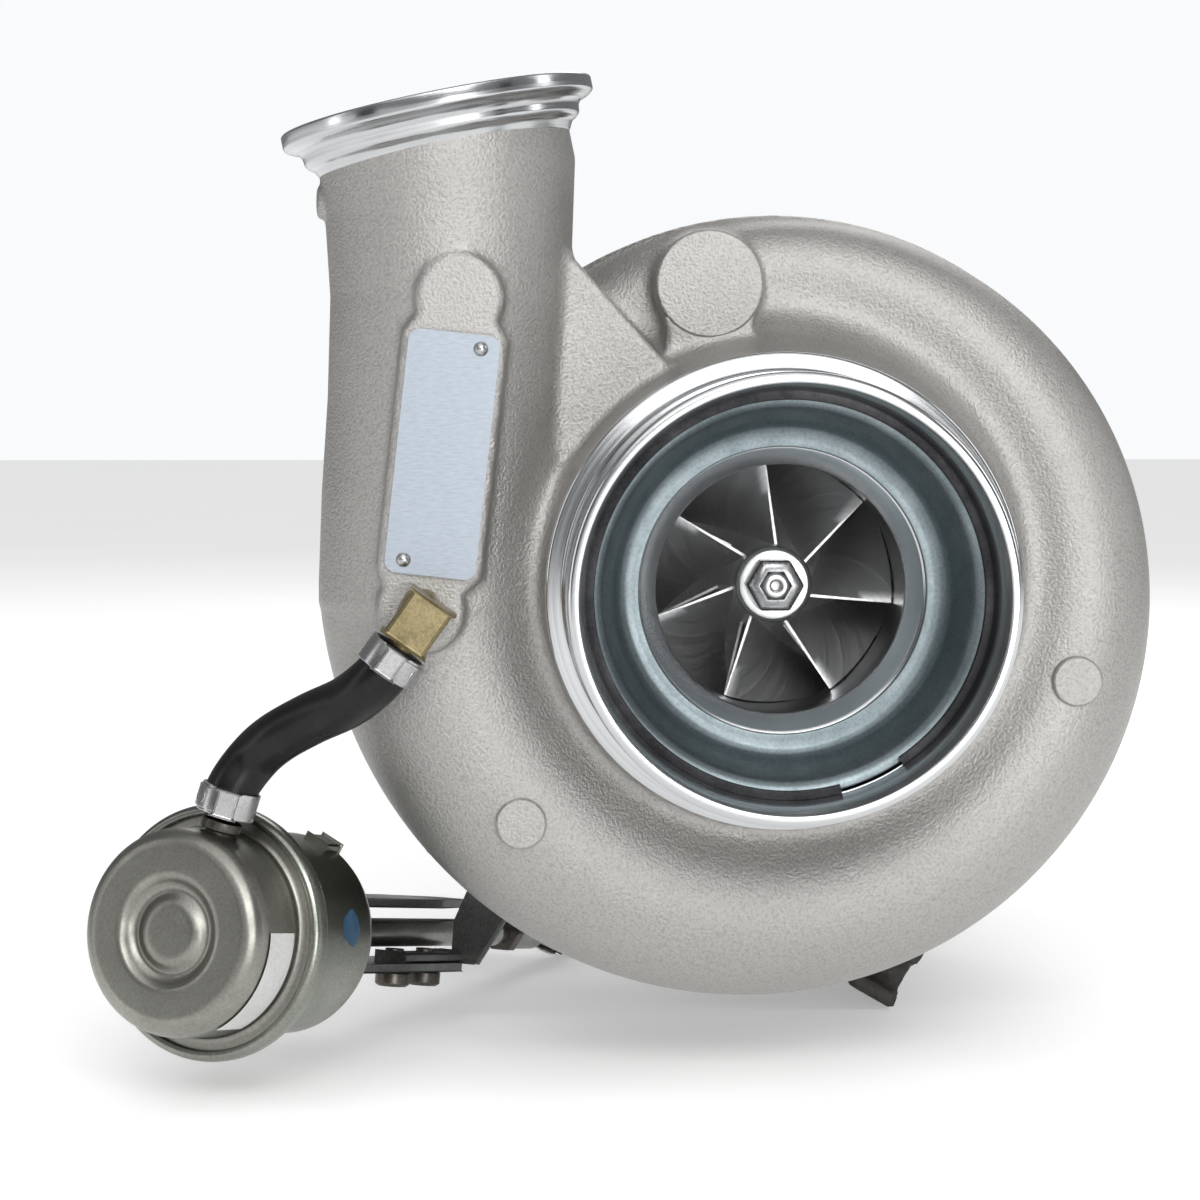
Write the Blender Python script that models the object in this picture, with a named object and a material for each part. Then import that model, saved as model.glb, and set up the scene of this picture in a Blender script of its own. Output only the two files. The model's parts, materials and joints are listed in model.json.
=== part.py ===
"""Turbocharger for a heavy diesel engine, with a wastegate and its pressure actuator.

Lengths are in millimetres here, and MM turns them into metres where a mesh is made.
Every piece hangs on the empty shaft_centre. There the shaft runs along Y, the compressor
inlet faces -Y, Z is up, and Y is 0 at the back of the compressor wheel. The origin of the
whole object is the centre of the turbine inlet flange.
"""

import math

import bmesh
import bpy
from mathutils import Matrix, Vector

MM = 0.001
GAP = 0.3

# How many flats each round piece has. Pieces that fit into each other share one of these.
COVER_FLATS = 28
TURBINE_FLATS = 24
MEDIUM_FLATS = 20
SMALL_FLATS = 12

# Compressor cover and its scroll
LIP_FRONT = -91.0
LIP_RADIUS = 50.3
INLET_BORE = 46.7
SEAT_FRONT = -58.0
SHROUD_RADIUS = 30.0
RIM_RADIUS = 89.0
SPIGOT_RADIUS = 80.3
COVER_BACK = 6.0
BAND_NECK = 84.5
BAND_RIM = 87.5
SCROLL_WALL = 4.0
SCROLL_START = -32
SCROLL_END = 270
OUTLET_FACE = Vector((-81.2, -29.5, 114.6))
OUTLET_AXIS = Vector((-0.2, 0.0, 0.98)).normalized()
OUTLET_RIM = 37.9
OUTLET_BORE = 26.5

# Nameplate and its raised land
PLATE_CENTRE = (-79.3, 31.9)
PLATE_SIZE = (20.7, 56.2)
PLATE_TILT = math.radians(6.5)
LAND_FRONT = -60.0
LAND_TOP = (-75.2, 68.1)
LAND_BOTTOM = (-84.5, -4.3)
LAND_LOBE = 10.4

# Wheels and shaft
FULL_BLADES = 7
TURBINE_BLADES = 11
INDUCER_FRONT = -32.0
INDUCER_RADIUS = 29.6
EXDUCER_RADIUS = 42.5
WHEEL_BACK = -0.4
TIP_BACK = -4.6
NOSE_FRONT = -38.0
STUB_RADIUS = 3.4
JOURNAL_RADIUS = 6.3
TURBINE_BACK = 70.7

# Bearing housing
PLATE_BACK = 14.0
HOUSING_BACK = 64.0
HOUSING_BORE = 9.7
TURBINE_NECK = 53.0
TURBINE_RIM = 56.0

# Turbine housing
INLET_NORMAL = Vector((math.cos(math.radians(30)), 0.0, -math.sin(math.radians(30))))
INLET_SIDE = Vector((math.sin(math.radians(30)), 0.0, math.cos(math.radians(30))))
INLET_REACH = 97.0
INLET_DROP = -46.0
INLET_MIDDLE = 98.5
INLET_HALF_WIDTH = 40.0
INLET_HALF_LENGTH = 60.0
INLET_THICKNESS = 14.0
SCROLL_FRONT = 73.5
OUTLET_BACK = 178.0

# Wastegate actuator: its axis starts at the rear end of the can and points along the rod
CAN_REAR = Vector((-118.6, -10.0, -89.5))
ROD_AXIS = Vector((0.447, 0.8775, -0.1736)).normalized()
ROD_SIDE = Vector((ROD_AXIS.y, -ROD_AXIS.x, 0.0)).normalized()
ROD_UP = ROD_SIDE.cross(ROD_AXIS)
CAN_RADIUS = 25.0
CRIMP_RADIUS = 30.8
CAP_FRONT = -57.1
ROD_RADIUS = 3.8
ROD_PIN_REACH = 151.0
STROKE = 12.0

# In the actuator's own directions: studs and leg bolts across and up from the rod, the bracket's
# screws along it, and the hose nipple, which stands on the cap and leans back a little
STUD_PLACES = ((-15.5, 6.0), (-15.5, -6.0))
LEG_BOLTS = ((51.0, 63.0), (60.0, 74.0))
BRACKET_SCREWS = (41.0, 58.0)
NIPPLE_FOOT = Vector((6.09, -47.6, 24.25))
NIPPLE_UP = Vector((0.2435, 0.0, 0.970))

# Wastegate lever
LEVER_ARM = 43.0
FLAP_ARM = 30.0
FLAP_REACH = 81.0
HALF_SWING = 0.5 * STROKE / LEVER_ARM
PIVOT_GUESS = Vector((0.41, 0.0, 0.912))

# Boost hose, from the elbow on the cover down to the nipple on the actuator cap
HOSE_ROUTE = (
    (-88.9, -68.0, -12.3), (-92.7, -68.0, -17.6), (-96.4, -66.4, -21.4), (-102.0, -62.0, -25.7),
    (-110.3, -57.0, -29.9), (-118.7, -53.0, -34.9), (-124.5, -49.8, -40.2),
)
HOSE_END = 3.9
HOSE_RADIUS = 6.2


# ---------------------------------------------------------------- small tools

def unit(vector):
    return Vector(vector).normalized()


def start_clean():
    for thing in list(bpy.data.objects):
        bpy.data.objects.remove(thing)


def look(name, colour, roughness, metallic=1.0):
    """A plain Principled material."""
    made = bpy.data.materials.new(name)
    made.use_nodes = True
    shader = made.node_tree.nodes["Principled BSDF"]
    shader.inputs["Base Color"].default_value = (*colour, 1.0)
    shader.inputs["Roughness"].default_value = roughness
    shader.inputs["Metallic"].default_value = metallic
    made.diffuse_color = (*colour, 1.0)
    return made


def link(thing):
    bpy.context.scene.collection.objects.link(thing)
    return thing


def frame_at(name, place, y_axis, x_axis, parent=None):
    """An empty at place, with its Y along y_axis and its X near x_axis."""
    along = unit(y_axis)
    across = unit(Vector(x_axis) - along * along.dot(Vector(x_axis)))
    turn = Matrix((across, along, across.cross(along))).transposed().to_4x4()
    made = link(bpy.data.objects.new(name, None))
    made.empty_display_size = 0.01
    made.parent = parent
    made.matrix_local = Matrix.Translation(Vector(place) * MM) @ turn
    return made


def shell(points, faces):
    """A mesh in metres with its faces pointing out."""
    mesh = bpy.data.meshes.new("shape")
    mesh.from_pydata([Vector(point) * MM for point in points], [], faces)
    work = bmesh.new()
    work.from_mesh(mesh)
    bmesh.ops.recalc_face_normals(work, faces=work.faces)
    work.to_mesh(mesh)
    work.free()
    return mesh


def piece(name, shape, finish, parent):
    """A visible solid, which becomes a node of its own."""
    mesh = shell(*shape)
    mesh.materials.append(finish)
    mesh.shade_smooth()
    mesh.set_sharp_from_angle(angle=math.radians(35))
    made = link(bpy.data.objects.new(name, mesh))
    made.parent = parent
    return made


def helpers(shapes, parent):
    """Solids that only add to or cut another one."""
    made = []
    for shape in shapes:
        tool = bpy.data.objects.new("helper", shell(*shape))
        tool.parent = parent
        tool.hide_render = True
        tool.display_type = "WIRE"
        made.append(tool)
    return made


def change(target, operation, tools, solver):
    """Adds all the tools to the target at once, or cuts them all from it at once."""
    group = bpy.data.collections.new(f"{target.name} {operation.lower()}")
    bpy.context.scene.collection.children.link(group)
    for tool in tools:
        group.objects.link(tool)
    step = target.modifiers.new(operation.lower(), "BOOLEAN")
    step.operation = operation
    step.solver = solver
    step.operand_type = "COLLECTION"
    step.collection = group


def add(target, shapes, parent, more=(), solver="EXACT"):
    change(target, "UNION", helpers(shapes, parent) + list(more), solver)


def cut(target, shapes, parent, more=(), solver="EXACT"):
    change(target, "DIFFERENCE", helpers(shapes, parent) + list(more), solver)


# ---------------------------------------------------------------- shapes

def turned(profile, segments=MEDIUM_FLATS):
    """Turns (along Y, radius) points around Y. Points on the axis close the ends."""
    points, faces, rings = [], [], []
    for along, radius in profile:
        count = 1 if radius < 1e-6 else segments
        rings.append([len(points) + step for step in range(count)])
        for step in range(count):
            angle = 2 * math.pi * step / segments
            points.append((radius * math.cos(angle), along, radius * math.sin(angle)))
    for ring, after in zip(rings, rings[1:] + rings[:1]):
        if len(ring) == 1 and len(after) == 1:
            continue
        for step in range(segments):
            here, there = step, (step + 1) % segments
            corners = [
                ring[here % len(ring)], ring[there % len(ring)],
                after[there % len(after)], after[here % len(after)],
            ]
            faces.append(list(dict.fromkeys(corners)))
    return points, faces


def moved(shape, offset):
    points, faces = shape
    return [Vector(point) + Vector(offset) for point in points], faces


def aimed(shape, place, y_axis, x_axis=(1.0, 0.0, 0.013)):
    """Puts a shape made around Y at a place, with that Y along y_axis."""
    points, faces = shape
    along = unit(y_axis)
    across = unit(Vector(x_axis) - along * along.dot(Vector(x_axis)))
    turn = Matrix((across, along, across.cross(along))).transposed()
    return [turn @ Vector(point) + Vector(place) for point in points], faces


def joined(shapes):
    """Several separate closed shapes as one helper."""
    points, faces = [], []
    for more_points, more_faces in shapes:
        start = len(points)
        points.extend(more_points)
        faces.extend([[start + index for index in face] for face in more_faces])
    return points, faces


def rod(low, high, radius, segments=SMALL_FLATS):
    return turned([(low, 0), (low, radius), (high, radius), (high, 0)], segments)


def ring(low, high, inner, outer, segments=MEDIUM_FLATS):
    return turned([(low, inner), (low, outer), (high, outer), (high, inner)], segments)


def hexagon(low, high, across_flats):
    return rod(low, high, across_flats / math.sqrt(3), 6)


def prism(outline, low, high):
    """An outline of (x, z) points, drawn out along Y."""
    count = len(outline)
    points = [(x, low, z) for x, z in outline] + [(x, high, z) for x, z in outline]
    sides = [[i, (i + 1) % count, count + (i + 1) % count, count + i] for i in range(count)]
    return points, sides + [list(range(count)), list(range(2 * count - 1, count - 1, -1))]


def block(low, high):
    """A box between two corners."""
    outline = [(low[0], low[2]), (high[0], low[2]), (high[0], high[2]), (low[0], high[2])]
    return prism(outline, low[1], high[1])


def arc(centre, radius, start, end, steps):
    """Points on an arc, with its angles in degrees."""
    angles = [math.radians(start + (end - start) * step / steps) for step in range(steps + 1)]
    return [(centre[0] + radius * math.cos(a), centre[1] + radius * math.sin(a)) for a in angles]


def rounded(half_width, half_height, corner, steps=4):
    """A rectangle with round corners around (0, 0)."""
    wide, high = half_width - corner, half_height - corner
    outline = []
    for sign_x, sign_y, start in ((1, 1, 0), (-1, 1, 90), (-1, -1, 180), (1, -1, 270)):
        outline += arc((sign_x * wide, sign_y * high), corner, start, start + 90, steps)
    return outline


def tube(stations, sides=16):
    """Ellipses (centre, u, v, radius along u, radius along v) joined into one closed tube."""
    points, faces = [], []
    for centre, u, v, along_u, along_v in stations:
        for step in range(sides):
            angle = 2 * math.pi * step / sides
            offset = u * (along_u * math.cos(angle)) + v * (along_v * math.sin(angle))
            points.append(Vector(centre) + offset)
    last = (len(stations) - 1) * sides
    for start in range(0, last, sides):
        for step in range(sides):
            after = (step + 1) % sides
            faces.append([start + step, start + after, start + sides + after, start + sides + step])
    return points, faces + [list(range(sides)), list(range(last + sides - 1, last - 1, -1))]


def along_path(path, radius, sides=10):
    """A round tube along points, whose section doesn't twist."""
    path = [Vector(point) for point in path]
    side = Vector((0.0, 0.0, 1.0))
    stations = []
    for index, point in enumerate(path):
        ahead = unit(path[min(index + 1, len(path) - 1)] - path[max(index - 1, 0)])
        side = unit(side - ahead * ahead.dot(side))
        stations.append((point, side, ahead.cross(side), radius, radius))
    return tube(stations, sides)


def smooth_route(points, steps):
    """Catmull-Rom points through the route's own points."""
    points = [Vector(point) for point in points]
    ends = [points[0] * 2 - points[1]] + points + [points[-1] * 2 - points[-2]]
    route = []
    for before, here, there, after in zip(ends, ends[1:], ends[2:], ends[3:]):
        for step in range(steps):
            t = step / steps
            route.append(0.5 * (2 * here + (there - before) * t
                                + (2 * before - 5 * here + 4 * there - after) * t * t
                                + (3 * here - before - 3 * there + after) * t ** 3))
    return route + [points[-1]]


# ---------------------------------------------------------------- compressor cover

def scroll_radius(turn):
    """Outer radius of the compressor scroll's tube, turn degrees clockwise from the top."""
    return 12.0 + 17.0 * turn / SCROLL_END


def scroll_station(turn, wall):
    angle = math.radians(turn)
    outward = Vector((math.sin(angle), 0.0, math.cos(angle)))
    radius = scroll_radius(turn)
    centre = outward * (76.0 + 5.0 * turn / SCROLL_END)
    centre.y = -radius - 0.5
    return centre, outward, Vector((0.0, 1.0, 0.0)), radius - wall, radius - wall


def duct_stations(wall, top):
    """The outlet duct, which rises from the scroll's end and leans over to its flange."""
    middle = ((22, -80.4, 28.7), (45, -79.0, 28.5), (69, -77.8, 28.9), (88, -78.0, 29.8))
    back = Vector((0.0, 1.0, 0.0))
    stations = [((x, -29.5, z), Vector((-1, 0, 0)), back, r - wall, r - wall) for z, x, r in middle]
    lean = Vector((-OUTLET_AXIS.z, 0.0, OUTLET_AXIS.x))
    for distance in (12.5, top):
        centre = OUTLET_FACE - OUTLET_AXIS * distance
        stations.append((centre, lean, back, 31.0 - wall, 31.0 - wall))
    return stations


def cover_outline():
    """The turned outside of the cover: lip, snout, base ring, shoulder, rim and band flange."""
    return [
        (LIP_FRONT, 0), (LIP_FRONT, LIP_RADIUS), (-90.3, 51.0), (-66.6, 51.2), (-65.6, 55.6),
        (-60.4, 55.6), (-50.0, 55.2), (-33.0, 60.0), (-20.0, 71.5), (-13.0, 87.0),
        (-11.0, RIM_RADIUS), (-0.6, RIM_RADIUS), (-0.6, BAND_NECK), (1.25, BAND_NECK),
        (3.05, BAND_RIM), (COVER_BACK, BAND_RIM), (COVER_BACK, 0),
    ]


def shroud_curve(start, end, radius_start, radius_end, steps, power=2.3):
    """The quarter curve that turns an axial passage into a radial one."""
    points = []
    for step in range(steps + 1):
        share = step / steps
        y = start + (end - start) * (1 - (1 - share) ** 1.6)
        bend = ((y - start) / (end - start)) ** power
        points.append((y, radius_end - (radius_end - radius_start) * (1 - bend) ** (1 / power)))
    return points


def cover_inside():
    """The inlet bore, the clip's groove, the seat, the shroud, the diffuser and the spigot."""
    return (
        [(LIP_FRONT - 3, 0), (LIP_FRONT - 3, 48.4), (LIP_FRONT, 48.4), (-79.0, 46.9)]
        + [(-77.7, INLET_BORE), (-77.7, 47.8), (-75.4, 47.8), (-75.4, INLET_BORE)]
        + [(SEAT_FRONT, INLET_BORE), (SEAT_FRONT, 33.2), (-45.0, SHROUD_RADIUS)]
        + shroud_curve(-31.0, -5.0, SHROUD_RADIUS, 44.5, 5)
        + [(-5.0, 69.0), (-9.0, 70.0), (-9.0, SPIGOT_RADIUS), (COVER_BACK + 3, SPIGOT_RADIUS)]
        + [(COVER_BACK + 3, 0)]
    )


def plate_axes():
    return (math.cos(PLATE_TILT), -math.sin(PLATE_TILT)), (math.sin(PLATE_TILT), math.cos(PLATE_TILT))


def on_plate(across, along):
    """A point in the nameplate's own directions, as (x, z)."""
    right, up = plate_axes()
    return (
        PLATE_CENTRE[0] + right[0] * across + up[0] * along,
        PLATE_CENTRE[1] + right[1] * across + up[1] * along,
    )


def rivet_places():
    half_wide, half_high = PLATE_SIZE[0] / 2, PLATE_SIZE[1] / 2
    return (on_plate(half_wide - 4.1, half_high - 2.9), on_plate(4.1 - half_wide, 2.9 - half_high))


def land_outline():
    """The raised land: a round lobe above and below a rectangle around the nameplate."""
    lean = math.degrees(PLATE_TILT)
    half = PLATE_SIZE[0] / 2 + 2.0
    tall = PLATE_SIZE[1] / 2 + 1.5
    return (
        arc(LAND_TOP, LAND_LOBE, -25 - lean, 205 - lean, 7)
        + [on_plate(-half, tall - 2), on_plate(-half, 2 - tall)]
        + arc(LAND_BOTTOM, LAND_LOBE, 155 - lean, 385 - lean, 7)
        + [on_plate(half, 2 - tall), on_plate(half, tall - 2)]
    )


def compressor_cover(shaft, finish):
    turns = list(range(SCROLL_START, SCROLL_END, 15)) + [SCROLL_END]
    outside = [scroll_station(turn, 0) for turn in turns] + duct_stations(0, 6.0)
    inner_turns = list(range(-24, SCROLL_END, 22)) + [SCROLL_END]
    inside = [scroll_station(turn, SCROLL_WALL) for turn in inner_turns]
    inside += duct_stations(SCROLL_WALL + 0.5, -4.0)
    flange = [(0, 0), (0, OUTLET_RIM), (-3.0, OUTLET_RIM), (-5.6, 34.2), (-11.0, 33.6), (-12.5, 31.4)]
    flange += [(-12.5, 0)]
    cover = piece("compressor_cover", turned(cover_outline(), COVER_FLATS), finish, shaft)
    web = [(-72, 84), (-49, 79), (-26, 53), (-40, 34), (-72, 30)]
    add(cover, [
        tube(outside, 12),
        aimed(turned(flange, 22), OUTLET_FACE, OUTLET_AXIS),
        prism(web, -40.0, -6.0),
        prism(land_outline(), LAND_FRONT, -44.0),
        aimed(rod(0, 20, 13.1, 14), (-15.4, -33.0, 72.3), (0, 1, 0)),
        block((-24.0, -36.0, 51.0), (-7.0, -20.0, 60.5)),
        aimed(rod(0, 12, 6.1, 10), (-61.2, -51.6, -55.5), (0, 1, 0)),
        aimed(rod(0, 12, 6.1, 10), (73.9, -38.6, -23.7), (0, 1, 0)),
        aimed(rod(0, 12, 3.8, 10), (-109.6, -33.0, 91.4), (1.0, 0.12, 0)),
    ], shaft, solver="MANIFOLD")
    rivets = [aimed(rod(-1, 5, 1.3, 10), (x, LAND_FRONT, z), (0, 1, 0)) for x, z in rivet_places()]
    port = aimed(rod(-3, 16, 3.0, 14), (LAND_BOTTOM[0], LAND_FRONT, LAND_BOTTOM[1]), (0, 1, 0))
    inner = [tube(inside, 10), turned(cover_inside(), COVER_FLATS), joined(rivets + [port])]
    cut(cover, inner, shaft, solver="MANIFOLD")


def inlet_baffle(shaft, finish):
    """The dished plate that sits on the shoulder in front of the wheel, with a rolled edge."""
    profile = [
        (-59.9, 33.6), (-59.9, 37.8), (-73.4, 42.6), (-75.1, 44.2), (-75.1, 46.2),
        (-73.6, 46.2), (-73.4, 44.8), (-58.3, 39.6), (-58.3, 33.6),
    ]
    piece("inlet_baffle", turned(profile, COVER_FLATS), finish, shaft)


def inlet_snap_ring(shaft, finish):
    """The open wire clip that holds the baffle in its groove."""
    clip = piece("inlet_snap_ring", ring(-77.3, -75.7, 43.2, 47.4, COVER_FLATS), finish, shaft)
    first, last = math.radians(-75), math.radians(-56)
    wedge = [(0, 0), (60 * math.cos(first), 60 * math.sin(first))]
    wedge += [(60 * math.cos(last), 60 * math.sin(last))]
    cut(clip, [prism(wedge, -79, -74)], shaft)


def nameplate(shaft, finish, rivet_finish):
    outline = [on_plate(x, z) for x, z in rounded(PLATE_SIZE[0] / 2, PLATE_SIZE[1] / 2, 2.4)]
    front = LAND_FRONT - GAP - 0.7
    plate = piece("nameplate", prism(outline, front, LAND_FRONT - GAP), finish, shaft)
    holes = [aimed(rod(-1, 3, 1.3, 10), (x, front, z), (0, 1, 0)) for x, z in rivet_places()]
    cut(plate, [joined(holes)], shaft)
    profile = [(-1.3, 0), (-1.1, 1.0), (-GAP, 1.8), (-GAP + 0.05, 1.8)]
    profile += [(-GAP + 0.05, 0.9), (4.5, 0.9), (4.5, 0)]
    for name, (x, z) in zip(("nameplate_rivet_top", "nameplate_rivet_bottom"), rivet_places()):
        shape = aimed(turned(profile, 12), (x, front, z), (0, 1, 0))
        piece(name, shape, rivet_finish, shaft)


# ---------------------------------------------------------------- clamps

def clamp_profile(front, back, neck, rim):
    """The channel of a V-band around two tapered flanges, from neck radius to rim radius."""
    slope = 1.85
    return [
        (front - 1.15, neck + 0.4), (front - 0.2, neck + 0.4), (front - 0.2 + slope, rim + 0.4),
        (back + 0.2 - slope, rim + 0.4), (back + 0.2, neck + 0.4), (back + 1.15, neck + 0.4),
        (back + 1.15, neck + 2.3), (back - 0.45, rim + 2.3), (front + 0.45, rim + 2.3),
        (front - 1.15, neck + 2.3),
    ]


def v_band(prefix, front, back, neck, rim, angle, flats, finish, parent):
    """A split V-band with two lugs, the T-bolt that closes it, and its nut."""
    middle = (front + back) / 2
    turn = math.radians(angle)
    outward = Vector((math.cos(turn), 0.0, math.sin(turn)))
    tangent = Vector((-math.sin(turn), 0.0, math.cos(turn)))
    seat = outward * (rim + 8.0) + Vector((0.0, middle, 0.0))
    lugs = [block((-6.6, side * 6.5 - 3.0, -5.0), (6.5, side * 6.5 + 3.0, 5.0)) for side in (-1, 1)]
    slot = block((-14.0, -3.2, -12.0), (14.0, 3.2, 12.0))
    band = piece(f"{prefix}_v_band", turned(clamp_profile(front, back, neck, rim), flats), finish, parent)
    add(band, [aimed(lug, seat, tangent, outward) for lug in lugs], parent)
    hole = aimed(rod(-14, 14, 3.4, 16), seat + outward * 1.5, tangent)
    cut(band, [aimed(slot, seat, tangent, outward), hole], parent)
    bolt = turned([(-14.6, 0), (-14.6, 4.6), (-9.8, 4.6), (-9.8, 3.0), (19.0, 3.0), (19.0, 0)], 12)
    nut = [(9.8, 3.8), (9.8, 5.6), (14.8, 5.6), (14.8, 3.8)]
    centre = seat + outward * 1.5
    piece(f"{prefix}_v_band_bolt", aimed(bolt, centre, tangent), finish, parent)
    piece(f"{prefix}_v_band_nut", aimed(turned(nut, 6), centre, tangent), finish, parent)


# ---------------------------------------------------------------- wheels

def hub_radius(y, front, back, nose, rim):
    share = min(max((y - front) / (back - front), 0.0), 1.0)
    return rim - (rim - nose) * (1 - share ** 2.1) ** (1 / 2.1)


def hub_outline(front, back, nose, rim, steps):
    ys = [front + (back - front) * (1 - (1 - step / steps) ** 1.7) for step in range(steps + 1)]
    return [(y, hub_radius(y, front, back, nose, rim)) for y in ys]


def blade(start_angle, hub_line, tip_line, twist, lag, thickness, columns, rows):
    """One thin blade between a hub line and a tip line, closed all round.

    Each line is a function of the share of the way from the leading to the trailing edge,
    and gives (y, radius). The blade turns by twist(share), and its root lags its tip by lag.
    """
    sides = []
    for side in (-1, 1):
        grid = []
        for column in range(columns + 1):
            share = column / columns
            root_y, root_radius = hub_line(share)
            tip_y, tip_radius = tip_line(share)
            for row in range(rows + 1):
                rise = row / rows
                y = root_y + (tip_y - root_y) * rise
                radius = root_radius + (tip_radius - root_radius) * rise
                half = 0.5 * thickness * (1.35 - 0.6 * rise) * (1.0 if 0 < column else 0.6)
                lean = math.radians(start_angle - lag * (1 - rise) * (1 - share) + twist(share))
                angle = lean + side * half / radius
                grid.append((radius * math.cos(angle), y, radius * math.sin(angle)))
        sides.append(grid)
    count = (columns + 1) * (rows + 1)
    faces = []
    for column in range(columns):
        for row in range(rows):
            a = column * (rows + 1) + row
            b = a + rows + 1
            faces.append([a, b, b + 1, a + 1])
            faces.append([count + a, count + a + 1, count + b + 1, count + b])
    edge = [row for row in range(rows + 1)]
    edge += [column * (rows + 1) + rows for column in range(1, columns + 1)]
    edge += [columns * (rows + 1) + row for row in range(rows - 1, -1, -1)]
    edge += [column * (rows + 1) for column in range(columns - 1, 0, -1)]
    for here, there in zip(edge, edge[1:] + edge[:1]):
        faces.append([here, there, count + there, count + here])
    return sides[0] + sides[1], faces


def compressor_blade(start_angle, start_share):
    """A full blade from share 0, or a splitter that starts deeper in."""
    def hub_line(share):
        part = start_share + (1 - start_share) * share
        y = INDUCER_FRONT + (-1.9 - INDUCER_FRONT) * (1 - (1 - part) ** 1.7)
        return y + 0.4 * part, hub_radius(y, INDUCER_FRONT, -1.9, 9.5, EXDUCER_RADIUS) - 0.9 + 0.5 * part

    def tip_line(share):
        part = start_share + (1 - start_share) * share
        y = INDUCER_FRONT + (TIP_BACK - INDUCER_FRONT) * (1 - (1 - part) ** 1.6)
        bend = ((y - INDUCER_FRONT) / (TIP_BACK - INDUCER_FRONT)) ** 2.3
        radius = EXDUCER_RADIUS - (EXDUCER_RADIUS - INDUCER_RADIUS) * (1 - bend) ** (1 / 2.3)
        return y, radius

    def twist(share):
        part = start_share + (1 - start_share) * share
        return 62.0 * (1 - (1 - part) ** 1.8)

    columns = 4 if start_share == 0 else 3
    return blade(start_angle, hub_line, tip_line, twist, 11.0, 0.9, columns, 1)


def compressor_wheel(shaft, finish):
    nose = [(NOSE_FRONT, STUB_RADIUS + GAP), (NOSE_FRONT, 8.2), (-37.0, 9.2), (-33.5, 9.2)]
    outline = nose + hub_outline(INDUCER_FRONT, -1.9, 9.5, EXDUCER_RADIUS, 5)
    outline += [(WHEEL_BACK, EXDUCER_RADIUS), (WHEEL_BACK, STUB_RADIUS + GAP)]
    wheel = piece("compressor_wheel", turned(outline, 21), finish, shaft)
    pitch = 360 / FULL_BLADES
    full = [compressor_blade(93.5 + pitch * index, 0) for index in range(FULL_BLADES)]
    short = [compressor_blade(93.5 + pitch * (index + 0.5), 0.28) for index in range(FULL_BLADES)]
    add(wheel, [joined(full + short)], shaft)


def turbine_wheel(shaft, finish):
    front, rear = TURBINE_BACK, 103.0
    outline = [(front, 0), (front, 33.0), (front + 2.2, 33.0)]
    outline += [(y, radius) for y, radius in reversed(hub_outline_back(front + 2.6, rear))]
    outline += [(rear + 5, 8.0), (rear + 6, 0)]
    wheel = piece("turbine_wheel", turned(outline, 22), finish, shaft)

    def hub_line(share):
        y = front + 2.4 + (rear - front - 4.4) * share
        return y, hub_radius(rear + front + 2.6 - y, front + 2.6, rear, 8.5, 33.0) - 1.0

    def tip_line(share):
        y = front + 3.0 + (rear - front - 4.0) * share
        inner = 37.6 - 6.8 * min(max((y - 83.0) / 14.0, 0.0), 1.0) ** 0.8
        return y, inner

    def twist(share):
        return -48.0 * share ** 2.2

    pitch = 360 / TURBINE_BLADES
    blades = [
        blade(pitch * index, hub_line, tip_line, twist, 0.0, 1.5, 3, 1) for index in range(TURBINE_BLADES)
    ]
    add(wheel, [joined(blades)], shaft)


def hub_outline_back(front, rear):
    """The turbine hub, whose rim is at the front. The points run from the rear to the front."""
    return [
        (front + rear - y, radius) for y, radius in hub_outline(front, rear, 8.5, 33.0, 5)
    ]


def rotor(shaft, finishes):
    steel, dark = finishes["machined_steel"], finishes["dark_steel"]
    compressor_wheel(shaft, finishes["wheel_aluminium"])
    turbine_wheel(shaft, finishes["turbine_alloy"])
    spindle = [
        (-44.0, 0), (-44.0, STUB_RADIUS - 0.5), (-43.5, STUB_RADIUS), (21.4, STUB_RADIUS),
        (21.4, JOURNAL_RADIUS), (54.5, JOURNAL_RADIUS), (55.5, 8.5), (60.5, 8.5), (60.5, 7.3),
        (61.9, 7.3), (61.9, 8.5), (TURBINE_BACK - GAP, 8.5), (TURBINE_BACK - GAP, 0),
    ]
    spindle_piece = piece("shaft", turned(spindle, SMALL_FLATS), steel, shaft)
    cut(spindle_piece, [rod(-46, -41, 1.4, 8)], shaft)
    nut = piece("compressor_nut", aimed(hexagon(-43.0, -38.3, 12.0), (0, 0, 0), (0, 1, 0)), dark, shaft)
    cut(nut, [rod(-45, -37, STUB_RADIUS + GAP)], shaft)
    slinger = [
        (-0.1, STUB_RADIUS + GAP), (-0.1, 7.6), (6.0, 7.6), (6.0, 6.3), (7.5, 6.3), (7.5, 7.6),
        (13.0, 7.6), (13.0, STUB_RADIUS + GAP),
    ]
    piece("oil_slinger", turned(slinger, SMALL_FLATS), steel, shaft)
    collar = [
        (13.3, STUB_RADIUS + GAP), (13.3, 11.0), (15.5, 11.0), (15.5, 7.0), (19.0, 7.0),
        (19.0, 11.0), (21.1, 11.0), (21.1, STUB_RADIUS + GAP),
    ]
    piece("thrust_collar", turned(collar, SMALL_FLATS), steel, shaft)
    piece("compressor_seal_ring", ring(6.3, 7.2, 6.6, 7.7, SMALL_FLATS), dark, shaft)
    piece("turbine_seal_ring", ring(60.8, 61.6, 7.6, 8.6, SMALL_FLATS), dark, shaft)


# ---------------------------------------------------------------- bearing housing

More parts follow.
